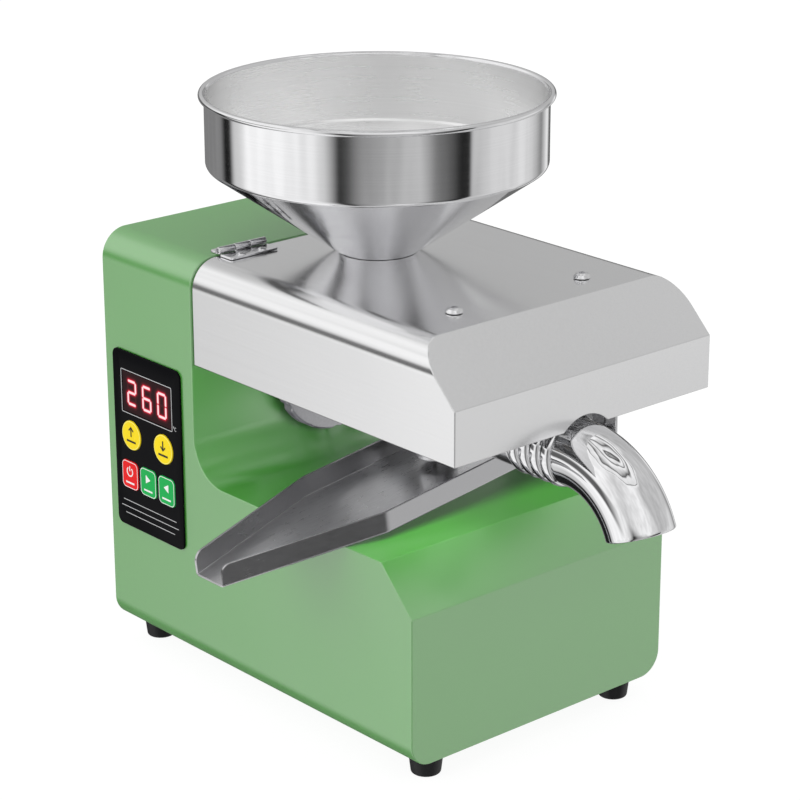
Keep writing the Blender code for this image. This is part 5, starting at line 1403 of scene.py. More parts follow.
@dataclass(frozen=True)
class ControlPanel:
    """The printed film, the lit display and the five keys."""

    film_radius: float = 4.0
    film_edge: float = 0.3
    digit_width: float = 6.6
    digit_height: float = 12.6
    digit_pitch: float = 13.0
    digit_gap: float = 0.9
    frame_size: tuple[float, float] = (43.3, 23.5)
    frame_line: float = 0.35
    print_height: float = 0.12
    rim: float = 0.35
    rim_inset: float = 0.3
    sunk: float = 0.3
    window_gap: float = 0.3
    key_radius: float = 3.0
    grid: float = 0.16
    figures: tuple[str, ...] = ("abged", "afgecd", "abcdef")
    keys_used: tuple[str, ...] = ("key_up", "key_down", "key_power", "key_press", "key_clear")

    def strokes(self, centre: tuple[float, float]) -> dict[str, tuple[np.ndarray, np.ndarray]]:
        """The seven strokes of one figure, as pairs of end points.

        Args:
            centre: the figure's middle in X and Z.

        Returns:
            The strokes by letter, a at the top and then clockwise, with g across the middle.
        """
        half, tall, gap = self.digit_width / 2, self.digit_height / 2, self.digit_gap
        ends = {
            "a": ((-half + gap, tall), (half - gap, tall)),
            "b": ((half, tall - gap), (half, gap)),
            "c": ((half, -gap), (half, -tall + gap)),
            "d": ((-half + gap, -tall), (half - gap, -tall)),
            "e": ((-half, -gap), (-half, -tall + gap)),
            "f": ((-half, tall - gap), (-half, gap)),
            "g": ((-half + gap, 0.0), (half - gap, 0.0)),
        }
        return {key: (np.add(first, centre), np.add(last, centre)) for key, (first, last) in ends.items()}

    def away(self, points: np.ndarray, strokes: list[tuple[np.ndarray, np.ndarray]]) -> np.ndarray:
        """How far each point is from the nearest stroke.

        The nearest point of a stroke lies at the share of it that the point
        projects to, kept between 0 and 1.

        Args:
            points: the points in X and Z.
            strokes: the strokes' end points.

        Returns:
            The distances.
        """
        first = np.array([stroke[0] for stroke in strokes])
        run = np.array([stroke[1] for stroke in strokes]) - first
        offset = points[:, None] - first[None]
        share = np.clip((offset * run).sum(axis=-1) / (run**2).sum(axis=-1), 0.0, 1.0)
        return np.linalg.norm(offset - share[..., None] * run, axis=-1).min(axis=1)

    def window(self, shop: Workshop) -> None:
        """Make the display's window, with the distances that light its figures.

        Args:
            shop: the workshop.
        """
        low, high = shop.bench.span("display_module")
        across = np.arange(low[0], high[0], self.grid)
        x = np.concatenate([[low[0]], across, [high[0], high[0]]])
        z = np.concatenate([[low[2]], np.arange(low[2], high[2], self.grid), [high[2], high[2]]])
        y = np.full((len(z), len(x)), low[1])
        y[[0, -1], :] = high[1]
        y[:, [0, -1]] = high[1]
        points = np.stack([np.broadcast_to(x, y.shape), y, np.broadcast_to(z[:, None], y.shape)], axis=-1)
        number = np.arange(y.size).reshape(y.shape)
        rim = np.concatenate([number[0, :-1], number[:-1, -1], number[-1, :0:-1], number[:0:-1, 0]])
        surface = woven(points)
        surface.faces.append(rim.tolist())
        item = shop.piece("display_window", surface)
        centre = (low + high) / 2
        lit, ghost = [], []
        for place, figure in enumerate(self.figures):
            middle = (centre[0] + (place - 1) * self.digit_pitch, centre[2])
            for key, stroke in self.strokes(middle).items():
                (lit if key in figure else ghost).append(stroke)
        co = np.empty(len(item.data.vertices) * 3)
        item.data.vertices.foreach_get("co", co)
        place = co.reshape(-1, 3) / MM - np.array([shop.bench.front, shop.bench.middle, 0.0])
        for name, strokes in (("lit", lit), ("ghost", ghost)):
            values = item.data.attributes.new(name, "FLOAT", "POINT")
            values.data.foreach_set("value", self.away(place[:, [0, 2]], strokes).astype(np.float32))
        shop.deliver(item, "root", "display_red", "display_module")

    def film(self, shop: Workshop) -> None:
        """Make the film, with its openings for the keys and the display.

        Args:
            shop: the workshop.
        """
        low, high = shop.bench.span("panel_overlay")
        corners = [(low[0], low[2]), (high[0], low[2]), (high[0], high[2]), (low[0], high[2])]
        outline = rounded(corners, self.film_radius, 12)
        levels = [
            (high[1], 0.0), (low[1] + self.film_edge, 0.0), (low[1] + 0.1, 0.1), (low[1], self.film_edge),
        ]
        item = shop.piece("panel_film_printed", crowned(outline, Axis.Y, levels))
        left, right = shop.bench.span("display_module")
        gap = self.window_gap
        window = [
            (left[0] - gap, left[2] - gap), (right[0] + gap, left[2] - gap),
            (right[0] + gap, right[2] + gap), (left[0] - gap, right[2] + gap),
        ]
        outlines = [window] + [self.key_outline(shop, key, gap) for key in self.keys_used]
        holes = [prism(outline, Axis.Y, low[1] - 1, high[1] + 1) for outline in outlines]
        shop.cut(item, *holes, sharp=30.0)
        shop.deliver(item, "root", "panel_film", "panel_overlay")

    def key_outline(self, shop: Workshop, key: str, more: float) -> np.ndarray:
        """A key's outline in X and Z, round or rounded square.

        Args:
            shop: the workshop.
            key: the key's node.
            more: how much more on each side.

        Returns:
            The outline.
        """
        low, high = shop.bench.span(key)
        centre, size = (low + high) / 2, high - low
        if key in ("key_up", "key_down"):
            return circle((centre[0], centre[2]), size[0] / 2 + more, 72)
        corners = rectangle((centre[0], centre[2]), (size[0] + 2 * more, size[2] + 2 * more))
        return rounded(corners, self.key_radius + more, 10)

    def icon(self, key: str, x: float, z: float) -> list[np.ndarray]:
        """The strokes of a key's sign, as outlines.

        Args:
            key: the key's node.
            x: the key's middle.
            z: the key's middle.

        Returns:
            The outlines in X and Z.
        """
        if key in ("key_up", "key_down"):
            way = 1 if key == "key_up" else -1
            middle = z + 1.9
            shaft = np.array([(x, middle - way * 2.6), (x, middle + way * 2.2)])
            barb = middle + way * 0.6
            head = np.array([(x - 1.9, barb), (x, middle + way * 2.6), (x + 1.9, barb)])
            bar = np.array([(x - 3.9, z - 3.3), (x + 3.9, z - 3.3)])
            return [band(shaft, 0.8), band(head, 0.8), band(bar, 1.0)]
        bar = band(np.array([(x - 3.6, z - 4.4), (x + 3.6, z - 4.4)]), 0.9)
        middle = z + 1.8
        if key == "key_power":
            angle = np.radians(np.linspace(125.0, 415.0, 30))
            ring = np.stack([x + 2.4 * np.cos(angle), middle + 2.4 * np.sin(angle)], axis=1)
            stem = np.array([(x, middle + 0.4), (x, middle + 3.1)])
            return [band(ring, 0.65), band(stem, 0.65), bar]
        way = 1 if key == "key_press" else -1
        back = x - way * 1.8
        arrow = np.array([(back, middle + 2.3), (back, middle - 2.3), (x + way * 2.1, middle)])
        return [arrow, bar]

    def keys(self, shop: Workshop) -> None:
        """Make the keys, their white rims and their signs.

        Args:
            shop: the workshop.
        """
        film = shop.bench.span("panel_overlay")[0][1]
        colours = ("yellow", "yellow", "red", "green", "green")
        for key, colour in zip(self.keys_used, colours):
            centre = shop.bench.centre(key)
            outline = self.key_outline(shop, key, 0.0)
            face = shop.bench.span(key)[0][1]
            levels = [
                (film + 2.0, 0.0), (film, 0.0), (face + 0.15, 0.05), (face + 0.04, 0.2), (face, 0.5),
                (face, 1.0), (face + 0.05, 2.5),
            ]
            item = shop.piece(key + "_cap", crowned(outline, Axis.Y, levels), 50.0)
            shop.deliver(item, key, "key_" + colour, key)
            outer = self.key_outline(shop, key, -self.rim_inset)
            inner = self.key_outline(shop, key, -self.rim_inset - self.rim)
            rim = hoop(inner, outer, Axis.Y, face + self.sunk, face - 0.02)
            edge, sign = ("pale_yellow", "black_print") if colour == "yellow" else ("white_print",) * 2
            shop.deliver(shop.piece(key + "_rim", rim), key, edge)
            first, *rest = (
                prism(part, Axis.Y, face - self.print_height, face + self.sunk)
                for part in self.icon(key, centre[0], centre[2])
            )
            shop.deliver(shop.piece(key + "_sign", sum(rest, first)), key, sign)

    def printing(self, shop: Workshop) -> None:
        """Make the display's frame line, the degree sign and the plain rules.

        Args:
            shop: the workshop.
        """
        film_low, film_high = shop.bench.span("panel_overlay")
        centre = shop.bench.centre("display_module")
        face = film_low[1]
        raised = (face - self.print_height, face)
        frame = band(
            rounded(rectangle((centre[0], centre[2]), self.frame_size), 0.6, 4), self.frame_line, closed=True
        )
        count = len(frame) // 2
        line = hoop(frame[: count - 1], frame[count:][::-1][:-1], Axis.Y, raised[1], raised[0])
        shop.deliver(shop.piece("display_frame_line", line), "root", "grey_print")
        right = centre[0] + self.frame_size[0] / 2 + 2.0
        foot = centre[2] - self.frame_size[1] / 2 + 1.2
        ring = band(circle((right - 0.7, foot + 1.6), 0.35, 16), 0.2, closed=True)
        letter = np.radians(np.linspace(50.0, 310.0, 16))
        curve = np.stack([right + 0.9 + 0.75 * np.cos(letter), foot + 0.8 + 0.95 * np.sin(letter)], axis=1)
        marks = prism(ring, Axis.Y, *raised) + prism(band(curve, 0.3), Axis.Y, *raised)
        width = film_high[0] - film_low[0]
        for row, share in enumerate((0.80, 0.86, 0.74)):
            z = film_low[2] + 14.5 - row * 3.6
            middle = (film_low[0] + film_high[0]) / 2
            rule = [(middle - width * share / 2, z), (middle + width * share / 2, z)]
            marks += prism(band(np.array(rule), self.frame_line), Axis.Y, *raised)
        shop.deliver(shop.piece("panel_marks", marks), "root", "grey_print")

    def build(self, shop: Workshop) -> None:
        """Make the whole panel.

        Args:
            shop: the workshop.
        """
        self.film(shop)
        self.window(shop)
        self.keys(shop)
        self.printing(shop)


# The stainless cover, its hinges and the hopper


@dataclass(frozen=True)
class Cover:
    """The folded stainless cover with its sloped front."""

    sheet: float = 1.2
    band_height: float = 27.05
    slope_run: float = 27.15
    radius: float = 15.0
    notch_radius: float = 20.5
    neck_hole: float = 18.3
    screw_hole: float = 2.3
    edge: float = 0.5
    arc_steps: int = 24
    screw_height: float = 2.4

    def side(self, low: np.ndarray, high: np.ndarray, depth: float) -> np.ndarray:
        """The cover seen from the side, at a depth inside its skin.

        Args:
            low: the cover's lowest corner.
            high: its highest corner.
            depth: how far inside.

        Returns:
            The outline in X and Z, open behind and below where it is inside.
        """
        crease = low[2] + self.band_height
        corners = inset(
            [
                (low[0], low[2]),
                (high[0], low[2]),
                (high[0], crease),
                (high[0] - self.slope_run, high[2]),
                (low[0], high[2]),
            ],
            depth,
        )
        if depth:
            corners[[0, 4], 0] = low[0] - 3
            corners[[0, 1], 1] = low[2] - 3
        return corners

    def section(self, low: np.ndarray, high: np.ndarray, depth: float) -> np.ndarray:
        """The cover seen from the front, at a depth inside its skin.

        Args:
            low: the cover's lowest corner.
            high: its highest corner.
            depth: how far inside.

        Returns:
            The outline in Y and Z.
        """
        corners = [
            (low[1] + depth, low[2] - 10),
            (high[1] - depth, low[2] - 10),
            (high[1] - depth, high[2] - depth),
            (low[1] + depth, high[2] - depth),
        ]
        radius = self.radius - depth
        return rounded(corners, [0, 0, radius, radius], self.arc_steps)

    def build(self, shop: Workshop) -> None:
        """Make the cover, the strip under it and its two screws.

        Args:
            shop: the workshop.
        """
        low, high = shop.bench.span("cover_shell")
        wide = (low[1] - 1, high[1] + 1)
        long = (low[0] - 5, high[0] + 5)
        shell, hollow = (
            shop.crossed(name, self.side(low, high, depth), self.section(low, high, depth), wide, long)
            for name, depth in (("cover_skin", 0), ("hollow", self.sheet))
        )
        feed_x = shop.bench.centre("hopper")[0]
        press = (0.0, shop.bench.centre("press_barrel")[2])
        cutters = [
            prism(circle(press, self.notch_radius, 96), Axis.X, high[0] - 3, high[0] + 3),
            prism(circle((feed_x, 0.0), self.neck_hole, 96), Axis.Z, high[2] - 5, high[2] + 5),
        ]
        for side in ("right", "left"):
            centre = shop.bench.centre("cover_screw_" + side)[:2]
            cutters.append(prism(circle(centre, self.screw_hole, 32), Axis.Z, high[2] - 5, high[2] + 5))
        shop.carved(shell, "DIFFERENCE", hollow)
        shop.cut(shell, *cutters)
        shop.softened(shell, self.edge, 2)
        shop.deliver(shell, "cover", "cover_steel", "cover_shell", slot="stainless")
        strip = shop.softened(shop.copied("cover_rest", "cover_rest_bent"), 0.4, 2)
        shop.deliver(strip, "cover", "bright_steel", "cover_rest", slot="stainless")
        for side in ("right", "left"):
            self.screw(shop, side)

    def screw(self, shop: Workshop, side: str) -> None:
        """Make one round-headed screw with a hexagon recess.

        Args:
            shop: the workshop.
            side: right or left.
        """
        low, high = shop.bench.span("cover_screw_" + side)
        centre = shop.bench.centre("cover_screw_" + side)[:2]
        radius = (high[0] - low[0]) / 2
        seat = high[2] - self.screw_height
        corners = [
            (low[2], 0.0), (low[2], 2.0), (seat, 2.0), (seat, radius), (seat + 0.5, radius),
            (high[2] - 0.5, radius * 0.78), (high[2], radius * 0.55), (high[2], 0.0),
        ]
        radii = [0, 0.3, 0.1, 0.2, 0.3, 0.8, 0.25, 0]
        head = shop.turned("screw_head_" + side, corners, radii, 5, Axis.Z, centre, 48, False)
        recess = prism(circle(centre, radius * 0.42, 6, 12.0), Axis.Z, high[2] - 1.3, high[2] + 1)
        shop.cut(head, recess, sharp=35.0)
        shop.deliver(head, "cover", "bright_steel", "cover_screw_" + side, slot="steel")


@dataclass(frozen=True)
class Hinges:
    """Two butt hinges with three knuckles each, and the screws in their leaves."""

    sheet: float = 1.0
    knuckle: float = 1.8
    bore: float = 1.15
    gap: float = 0.3
    corner: float = 1.2
    screw_head: float = 2.3
    screw_pitch: float = 13.0
    edge: float = 0.18

    def rolled(self, axis: tuple[float, float], low: float, high: float) -> Surface:
        """One knuckle, bored for the pin.

        Args:
            axis: the pin's place in X and Z.
            low: where the knuckle starts in Y.
            high: where it ends.

        Returns:
            The tube.
        """
        corners = [(low, self.bore), (low, self.knuckle), (high, self.knuckle), (high, self.bore)]
        return spun(rounded(corners, [0, 0.25, 0.25, 0], 3), Axis.Y, axis, 40)

    def screws(self, x: float, y: float, z: float) -> Surface:
        """The two cross-headed screws of a leaf.

        Args:
            x: the screws' place in X.
            y: the middle of the leaf.
            z: the leaf's upper face.

        Returns:
            Both heads, each with its cross standing in a shallow dish.
        """
        head = self.screw_head
        corners = [(z, 0.0), (z, head), (z + 0.5, head * 0.95), (z + 0.95, head * 0.55), (z + 0.95, 0.0)]
        profile = rounded(corners, [0, 0.05, 0.3, 0.6, 0], 4, closed=False)
        first, last = (
            spun(profile, Axis.Z, (x, y + way * self.screw_pitch / 2), 32, closed=False) for way in (-1, 1)
        )
        return first + last

    def build(self, shop: Workshop) -> None:
        """Make both hinges.

        Args:
            shop: the workshop.
        """
        for side in ("right", "left"):
            pin_low, pin_high = shop.bench.span("hinge_pin_" + side)
            middle = (pin_low + pin_high) / 2
            axis = (middle[0], middle[2])
            third = (pin_high[1] - pin_low[1]) / 3
            for owner, body in (("tower", "root"), ("cover", "cover")):
                node = f"{owner}_hinge_leaf_{side}"
                low, high = shop.bench.span(node)
                if owner == "tower":
                    spans = [(pin_low[1], pin_low[1] + third), (pin_high[1] - third, pin_high[1])]
                    plate = (low[0], axis[0] - self.knuckle - self.gap)
                    neck = (plate[1] - 0.5, axis[0] - 0.9)
                    radii = [self.corner, 0, 0, self.corner]
                else:
                    spans = [(pin_low[1] + third + self.gap, pin_high[1] - third - self.gap)]
                    plate = (axis[0] + self.knuckle + self.gap, high[0])
                    neck = (axis[0] + 0.6, plate[0] + 0.5)
                    radii = [0, self.corner, self.corner, 0]
                corners = [(plate[0], low[1]), (plate[1], low[1]), (plate[1], high[1]), (plate[0], high[1])]
                top = low[2] + self.sheet
                leaf = crowned(
                    rounded(corners, radii, 5), Axis.Z,
                    [(low[2], 0.0), (top - self.edge, 0.0), (top, self.edge)],
                )
                for near, far in spans:
                    leaf += self.rolled(axis, near, far)
                    leaf += box((neck[0], near, low[2]), (neck[1], far, top - 0.05))
                item = shop.piece(node + "_rolled", leaf)
                shop.deliver(item, body, "bright_steel", node, slot="steel")
                if owner == "cover":
                    x = plate[1] - self.screw_head - self.gap
                    heads = shop.piece("hinge_screws_" + side, self.screws(x, middle[1], top))
                    crosses = [
                        prism(
                            rectangle((x, middle[1] + way * self.screw_pitch / 2), size), Axis.Z,
                            top + 0.5, top + 1.5,
                        )
                        for way in (-1, 1) for size in ((2.6, 0.5), (0.5, 2.6))
                    ]
                    shop.cut(heads, *crosses, sharp=35.0)
                    shop.deliver(heads, "cover", "bright_steel", slot="steel")
            radius = (pin_high[0] - pin_low[0]) / 2
            corners = [(pin_low[1], 0), (pin_low[1], radius), (pin_high[1], radius), (pin_high[1], 0)]
            name = "hinge_pin_turned_" + side
            pin = shop.turned(name, corners, [0, 0.4, 0.4, 0], 4, Axis.Y, axis, 24, False)
            shop.deliver(pin, "root", "steel", "hinge_pin_" + side)


@dataclass(frozen=True)
class Hopper:
    """The spun bowl: neck, shoulder, cone, straight wall and rolled rim."""

    sheet: float = 1.0
    neck: float = 18.0
    neck_depth: float = 14.0
    shoulder: float = 20.2
    wall: float = 85.5
    knee_height: float = 59.3
    knee_radius: float = 3.6
    bead: float = 1.6
    bead_out: float = 1.16
    settle: float = 0.24
    segments: int = 192

    def profile(self, low: np.ndarray, high: np.ndarray) -> np.ndarray:
        """The wall of the bowl, out along its outer face and back along its inner one.

        Args:
            low: the hopper's lowest corner.
            high: its highest corner.

        Returns:
            Rows of height and radius.
        """
        seat = low[2] + self.neck_depth - self.settle
        knee = low[2] + self.knee_height
        slope = math.atan2(knee - seat, self.wall - self.shoulder)
        outer = rounded(
            [
                (low[2], self.neck), (seat, self.neck), (seat, self.shoulder), (knee, self.wall),
                (high[2] - 3.2, self.wall),
            ],
            [0, 0, 0.5, self.knee_radius, 0], 12, closed=False,
        )
        turn = np.radians(np.linspace(-120.0, 165.0, 22))
        bead = np.stack(
            [
                high[2] - self.bead + self.bead * np.sin(turn),
                self.wall + self.bead_out + self.bead * np.cos(turn),
            ],
            axis=1,
        )
        flat = self.sheet * math.tan(slope / 2)
        inner_knee = knee + self.sheet * math.tan((math.pi / 2 - slope) / 2)
        inner = rounded(
            [
                (high[2] - 1.6, self.wall - self.sheet),
                (inner_knee, self.wall - self.sheet),
                (seat + self.sheet, self.shoulder - flat),
                (seat + self.sheet, self.neck - self.sheet),
                (low[2], self.neck - self.sheet),
            ],
            [0, self.knee_radius - 0.6, 2.0, 0.6, 0], 12, closed=False,
        )
        return distinct(np.vstack([outer, bead, inner]))

    def build(self, shop: Workshop) -> None:
        """Make the hopper.

        Args:
            shop: the workshop.
        """
        low, high = shop.bench.span("hopper")
        centre = shop.bench.centre("hopper")[:2]
        bowl = spun(self.profile(low, high), Axis.Z, centre, self.segments)
        item = shop.piece("hopper_spun", bowl, 50.0)
        shop.deliver(item, "hopper", "hopper_steel", "hopper", slot="stainless")
        axis = shop.bench.to_frame(np.array([centre[0], centre[1], 0.0]))

        def inside(middle: np.ndarray, normal: np.ndarray) -> np.ndarray:
            """The faces below the rim that look at the bowl's axis or up."""
            inward = ((middle - axis)[:, :2] * normal[:, :2]).sum(axis=1) < 0
            return (inward | (normal[:, 2] > 0.5)) & (middle[:, 2] < (high[2] - 4.0) * MM)

        shop.lined(item, "hopper_inside", inside)


# The press barrel and the outlet


@dataclass(frozen=True)
class Barrel:
    """The barrel, its feed throat, its socket and lock ring, and what clamps on it."""

    bore: float = 12.0
    radius: float = 19.3
    flange: float = 24.0
    flange_thickness: float = 7.0
    muzzle: float = 16.7
    muzzle_length: float = 35.0
    thread: float = 14.0
    thread_length: float = 12.0
    feed_hole: float = 11.0
    nozzle_bore: float = 6.0
    throat: float = 15.0
    throat_neck: float = 7.5
    throat_flare: float = 20.0
    throat_wall: float = 2.2
    band_thickness: float = 3.4
    band_split: float = 4.0
    ear: float = 3.0
    play: float = 0.3
    ring_recess: float = 31.3
    ring_lip: float = 2.4
    ring_notches: int = 12
    notch: float = 3.0
    segments: int = 96

    def build(self, shop: Workshop) -> None:
        """Make everything on the barrel's line behind the muzzle.

        Args:
            shop: the workshop.
        """
        low, high = shop.bench.span("press_barrel")
        press = shop.bench.centre("press_barrel")[2]
        shoulder = low[0] + self.flange_thickness
        face = high[0] - self.thread_length
        step = face - self.muzzle_length
        corners = [
            (low[0], self.bore), (low[0], self.flange), (shoulder, self.flange), (shoulder, self.radius),
            (step - 1.5, self.radius), (step, self.muzzle), (face, self.muzzle), (face, self.thread),
            (high[0], self.thread), (high[0], self.bore),
        ]
        radii = [0.3, 0.8, 0.5, 0.3, 1.0, 1.0, 0.8, 0.3, 1.2, 0.5]
        barrel = shop.turned("barrel_turned", corners, radii, 5, Axis.X, (0.0, press))
        throat_low, throat_high = shop.bench.span("feed_throat")
        feed = ((throat_low[0] + throat_high[0]) / 2, 0.0)
        hole = prism(circle(feed, self.feed_hole, 48), Axis.Z, press, press + self.radius + 2)
        shop.cut(barrel, hole, sharp=35.0)
        shop.deliver(barrel, "root", "stainless", "press_barrel")
        self.collar(shop, feed, press, (throat_high[0] - throat_low[0]) / 2, throat_high[2])
        self.socket(shop, press)
        self.lock_ring(shop, press)
        self.heater(shop, press)
        self.fittings(shop)

    def collar(
        self, shop: Workshop, feed: tuple[float, float], press: float, mouth: float, top: float
    ) -> None:
        """Make the flared collar that saddles the barrel.

        Its foot follows the barrel: at each angle it stops at the height where the
        barrel's round meets the collar's radius.

        Args:
            shop: the workshop.
            feed: the collar's axis.
            press: the barrel's height.
            mouth: the collar's outer radius at its mouth.
            top: its upper face.
        """
        neck = press + self.radius + self.throat_neck
        flare = neck + self.throat_flare
        inner = mouth - self.throat_wall
        corners = [
            (press, self.feed_hole), (press, self.throat), (neck, self.throat), (flare, mouth), (top, mouth),
            (top, inner), (flare, inner), (neck + 1.5, self.feed_hole),
        ]
        profile = rounded(corners, [0, 0, 3.0, 3.0, 0.8, 0.8, 3.0, 3.0], 6)
        surface = spun(profile, Axis.Z, feed, self.segments)
        across = np.abs(surface.points[:, 1])
        seat = press + np.sqrt(np.maximum((self.radius + self.play) ** 2 - across**2, 0.0))
        low = surface.points[:, 2] < press + 0.01
        surface.points[:, 2] = np.where(low, seat, surface.points[:, 2])
        shop.deliver(shop.piece("feed_throat_turned", surface), "root", "stainless", "feed_throat")

    def socket(self, shop: Workshop, press: float) -> None:
        """Make the ring that the barrel's flange drops into.

        Args:
            shop: the workshop.
            press: the barrel's height.
        """
        low, high = shop.bench.span("barrel_socket")
        outer = (high[2] - low[2]) / 2
        corners = [
            (low[0], self.flange + self.play), (low[0], outer - 3.6), (low[0] + 2.2, outer),
            (high[0], outer), (high[0], self.flange + self.play),
        ]
        radii = [0.2, 0.3, 0.5, 0.5, 0.4]
        ring = shop.turned("barrel_socket_turned", corners, radii, 4, Axis.X, (0.0, press))
        shop.deliver(ring, "root", "steel", "barrel_socket")

    def lock_ring(self, shop: Workshop, press: float) -> None:
        """Make the hand ring, whose rim dips at each notch.

        A notch is a circle that reaches in from outside the rim, so at an angle d
        from its middle the rim stops at c cos d less the root of n squared less
        c squared sin squared d, where c is the notch's distance and n its radius.

        Args:
            shop: the workshop.
            press: the barrel's height.
        """
        low, high = shop.bench.span("lock_ring")
        outer = (high[2] - low[2]) / 2
        corners = [
            (low[0], self.ring_recess), (low[0], outer), (high[0] - 1.0, outer), (high[0], outer - 1.0),
            (high[0], self.radius + self.play), (high[0] - self.ring_lip, self.radius + self.play),
            (high[0] - self.ring_lip, self.ring_recess),
        ]
        profile = refined(rounded(corners, [0.2, 0.4, 0.6, 0.6, 0.6, 0.4, 0.2], 4), 2.0)
        count = self.ring_notches * 24
        angle = np.linspace(0.0, FULL_TURN, count, endpoint=False)
        share = FULL_TURN / self.ring_notches
        offset = (angle + share / 2) % share - share / 2
        distance = outer + self.notch * 0.55
        inside = self.notch**2 - (distance * np.sin(offset)) ** 2
        dip = distance * np.cos(offset) - np.sqrt(np.maximum(inside, 0.0))
        reach = np.where(inside > 0, dip, outer)
        surface = spun(profile, Axis.X, (0.0, press), count, reach=reach)
        shop.deliver(shop.piece("lock_ring_turned", surface), "lock_ring", "steel", "lock_ring")

    def heater(self, shop: Workshop, press: float) -> None:
        """Make the clamp heater as one strap carried round the barrel and out into its ears.

        Args:
            shop: the workshop.
            press: the barrel's height.
        """
        low, high = shop.bench.span("heater_band")
        inner = self.radius + self.play
        outer = inner + self.band_thickness
        open_angle = math.asin(self.band_split / 2 / inner)
        turn = np.linspace(math.pi / 2 + open_angle, math.pi / 2 + FULL_TURN - open_angle, 97)
        ring_in = np.stack([inner * np.cos(turn), press + inner * np.sin(turn)], axis=1)
        half = self.band_split / 2
        reach = half + self.ear
        meet = math.acos(reach / outer)
        outside = np.linspace(FULL_TURN + meet, math.pi - meet, 97)
        ring_out = np.stack([outer * np.cos(outside), press + outer * np.sin(outside)], axis=1)
        outline = np.vstack(
            [
                ring_in, [(half, high[2] - 0.6), (half + 0.6, high[2]), (reach - 0.6, high[2]),
                          (reach, high[2] - 0.6)],
                ring_out, [(-reach, high[2] - 0.6), (-reach + 0.6, high[2]), (-half - 0.6, high[2]),
                           (-half, high[2] - 0.6)],
            ]
        )
        strap = shop.piece("heater_band_bent", prism(outline, Axis.X, low[0], high[0]))
        shop.softened(strap, 0.3, 2)
        shop.deliver(strap, "root", "steel", "heater_band")

    def fittings(self, shop: Workshop) -> None:
        """Make the probe, the clamp screw and the oil nozzle.

        Args:
            shop: the workshop.
        """
        low, high = shop.bench.span("temperature_probe")
        centre = shop.bench.centre("temperature_probe")[:2]
        shoulder = low[2] + 4
        corners = [
            (low[2], 0), (low[2], 4.0), (shoulder, 4.0), (shoulder, 2.5), (high[2], 2.5), (high[2], 0),
        ]
        radii = [0, 0.3, 0.6, 0.4, 1.2, 0]
        probe = shop.turned("temperature_probe_turned", corners, radii, 5, Axis.Z, centre, 40, False)
        shop.deliver(probe, "root", "brass", "temperature_probe")
        low, high = shop.bench.span("heater_clamp_screw")
        centre = shop.bench.centre("heater_clamp_screw")[[0, 2]]
        head = (high[2] - low[2]) / 2
        seat = low[1] + 2.4
        corners = [(low[1], 0), (low[1], head), (seat, head), (seat, 2.0), (high[1], 2.0), (high[1], 0)]
        radii = [0, 0.7, 0.3, 0.1, 0.5, 0]
        screw = shop.turned("heater_clamp_screw_turned", corners, radii, 4, Axis.Y, centre, 32, False)
        shop.deliver(screw, "root", "zinc", "heater_clamp_screw")
        low, high = shop.bench.span("oil_nozzle")
        centre = shop.bench.centre("oil_nozzle")[:2]
        outer = (high[0] - low[0]) / 2
        corners = [
            (low[2], self.nozzle_bore), (low[2], outer - 1), (low[2] + 1, outer), (high[2], outer),
            (high[2], self.nozzle_bore),
        ]
        radii = [0.5, 0.6, 0.6, 0.3, 0.3]
        nozzle = shop.turned("oil_nozzle_turned", corners, radii, 5, Axis.Z, centre, 64)
        shop.deliver(nozzle, "root", "chrome", "oil_nozzle", slot="stainless")


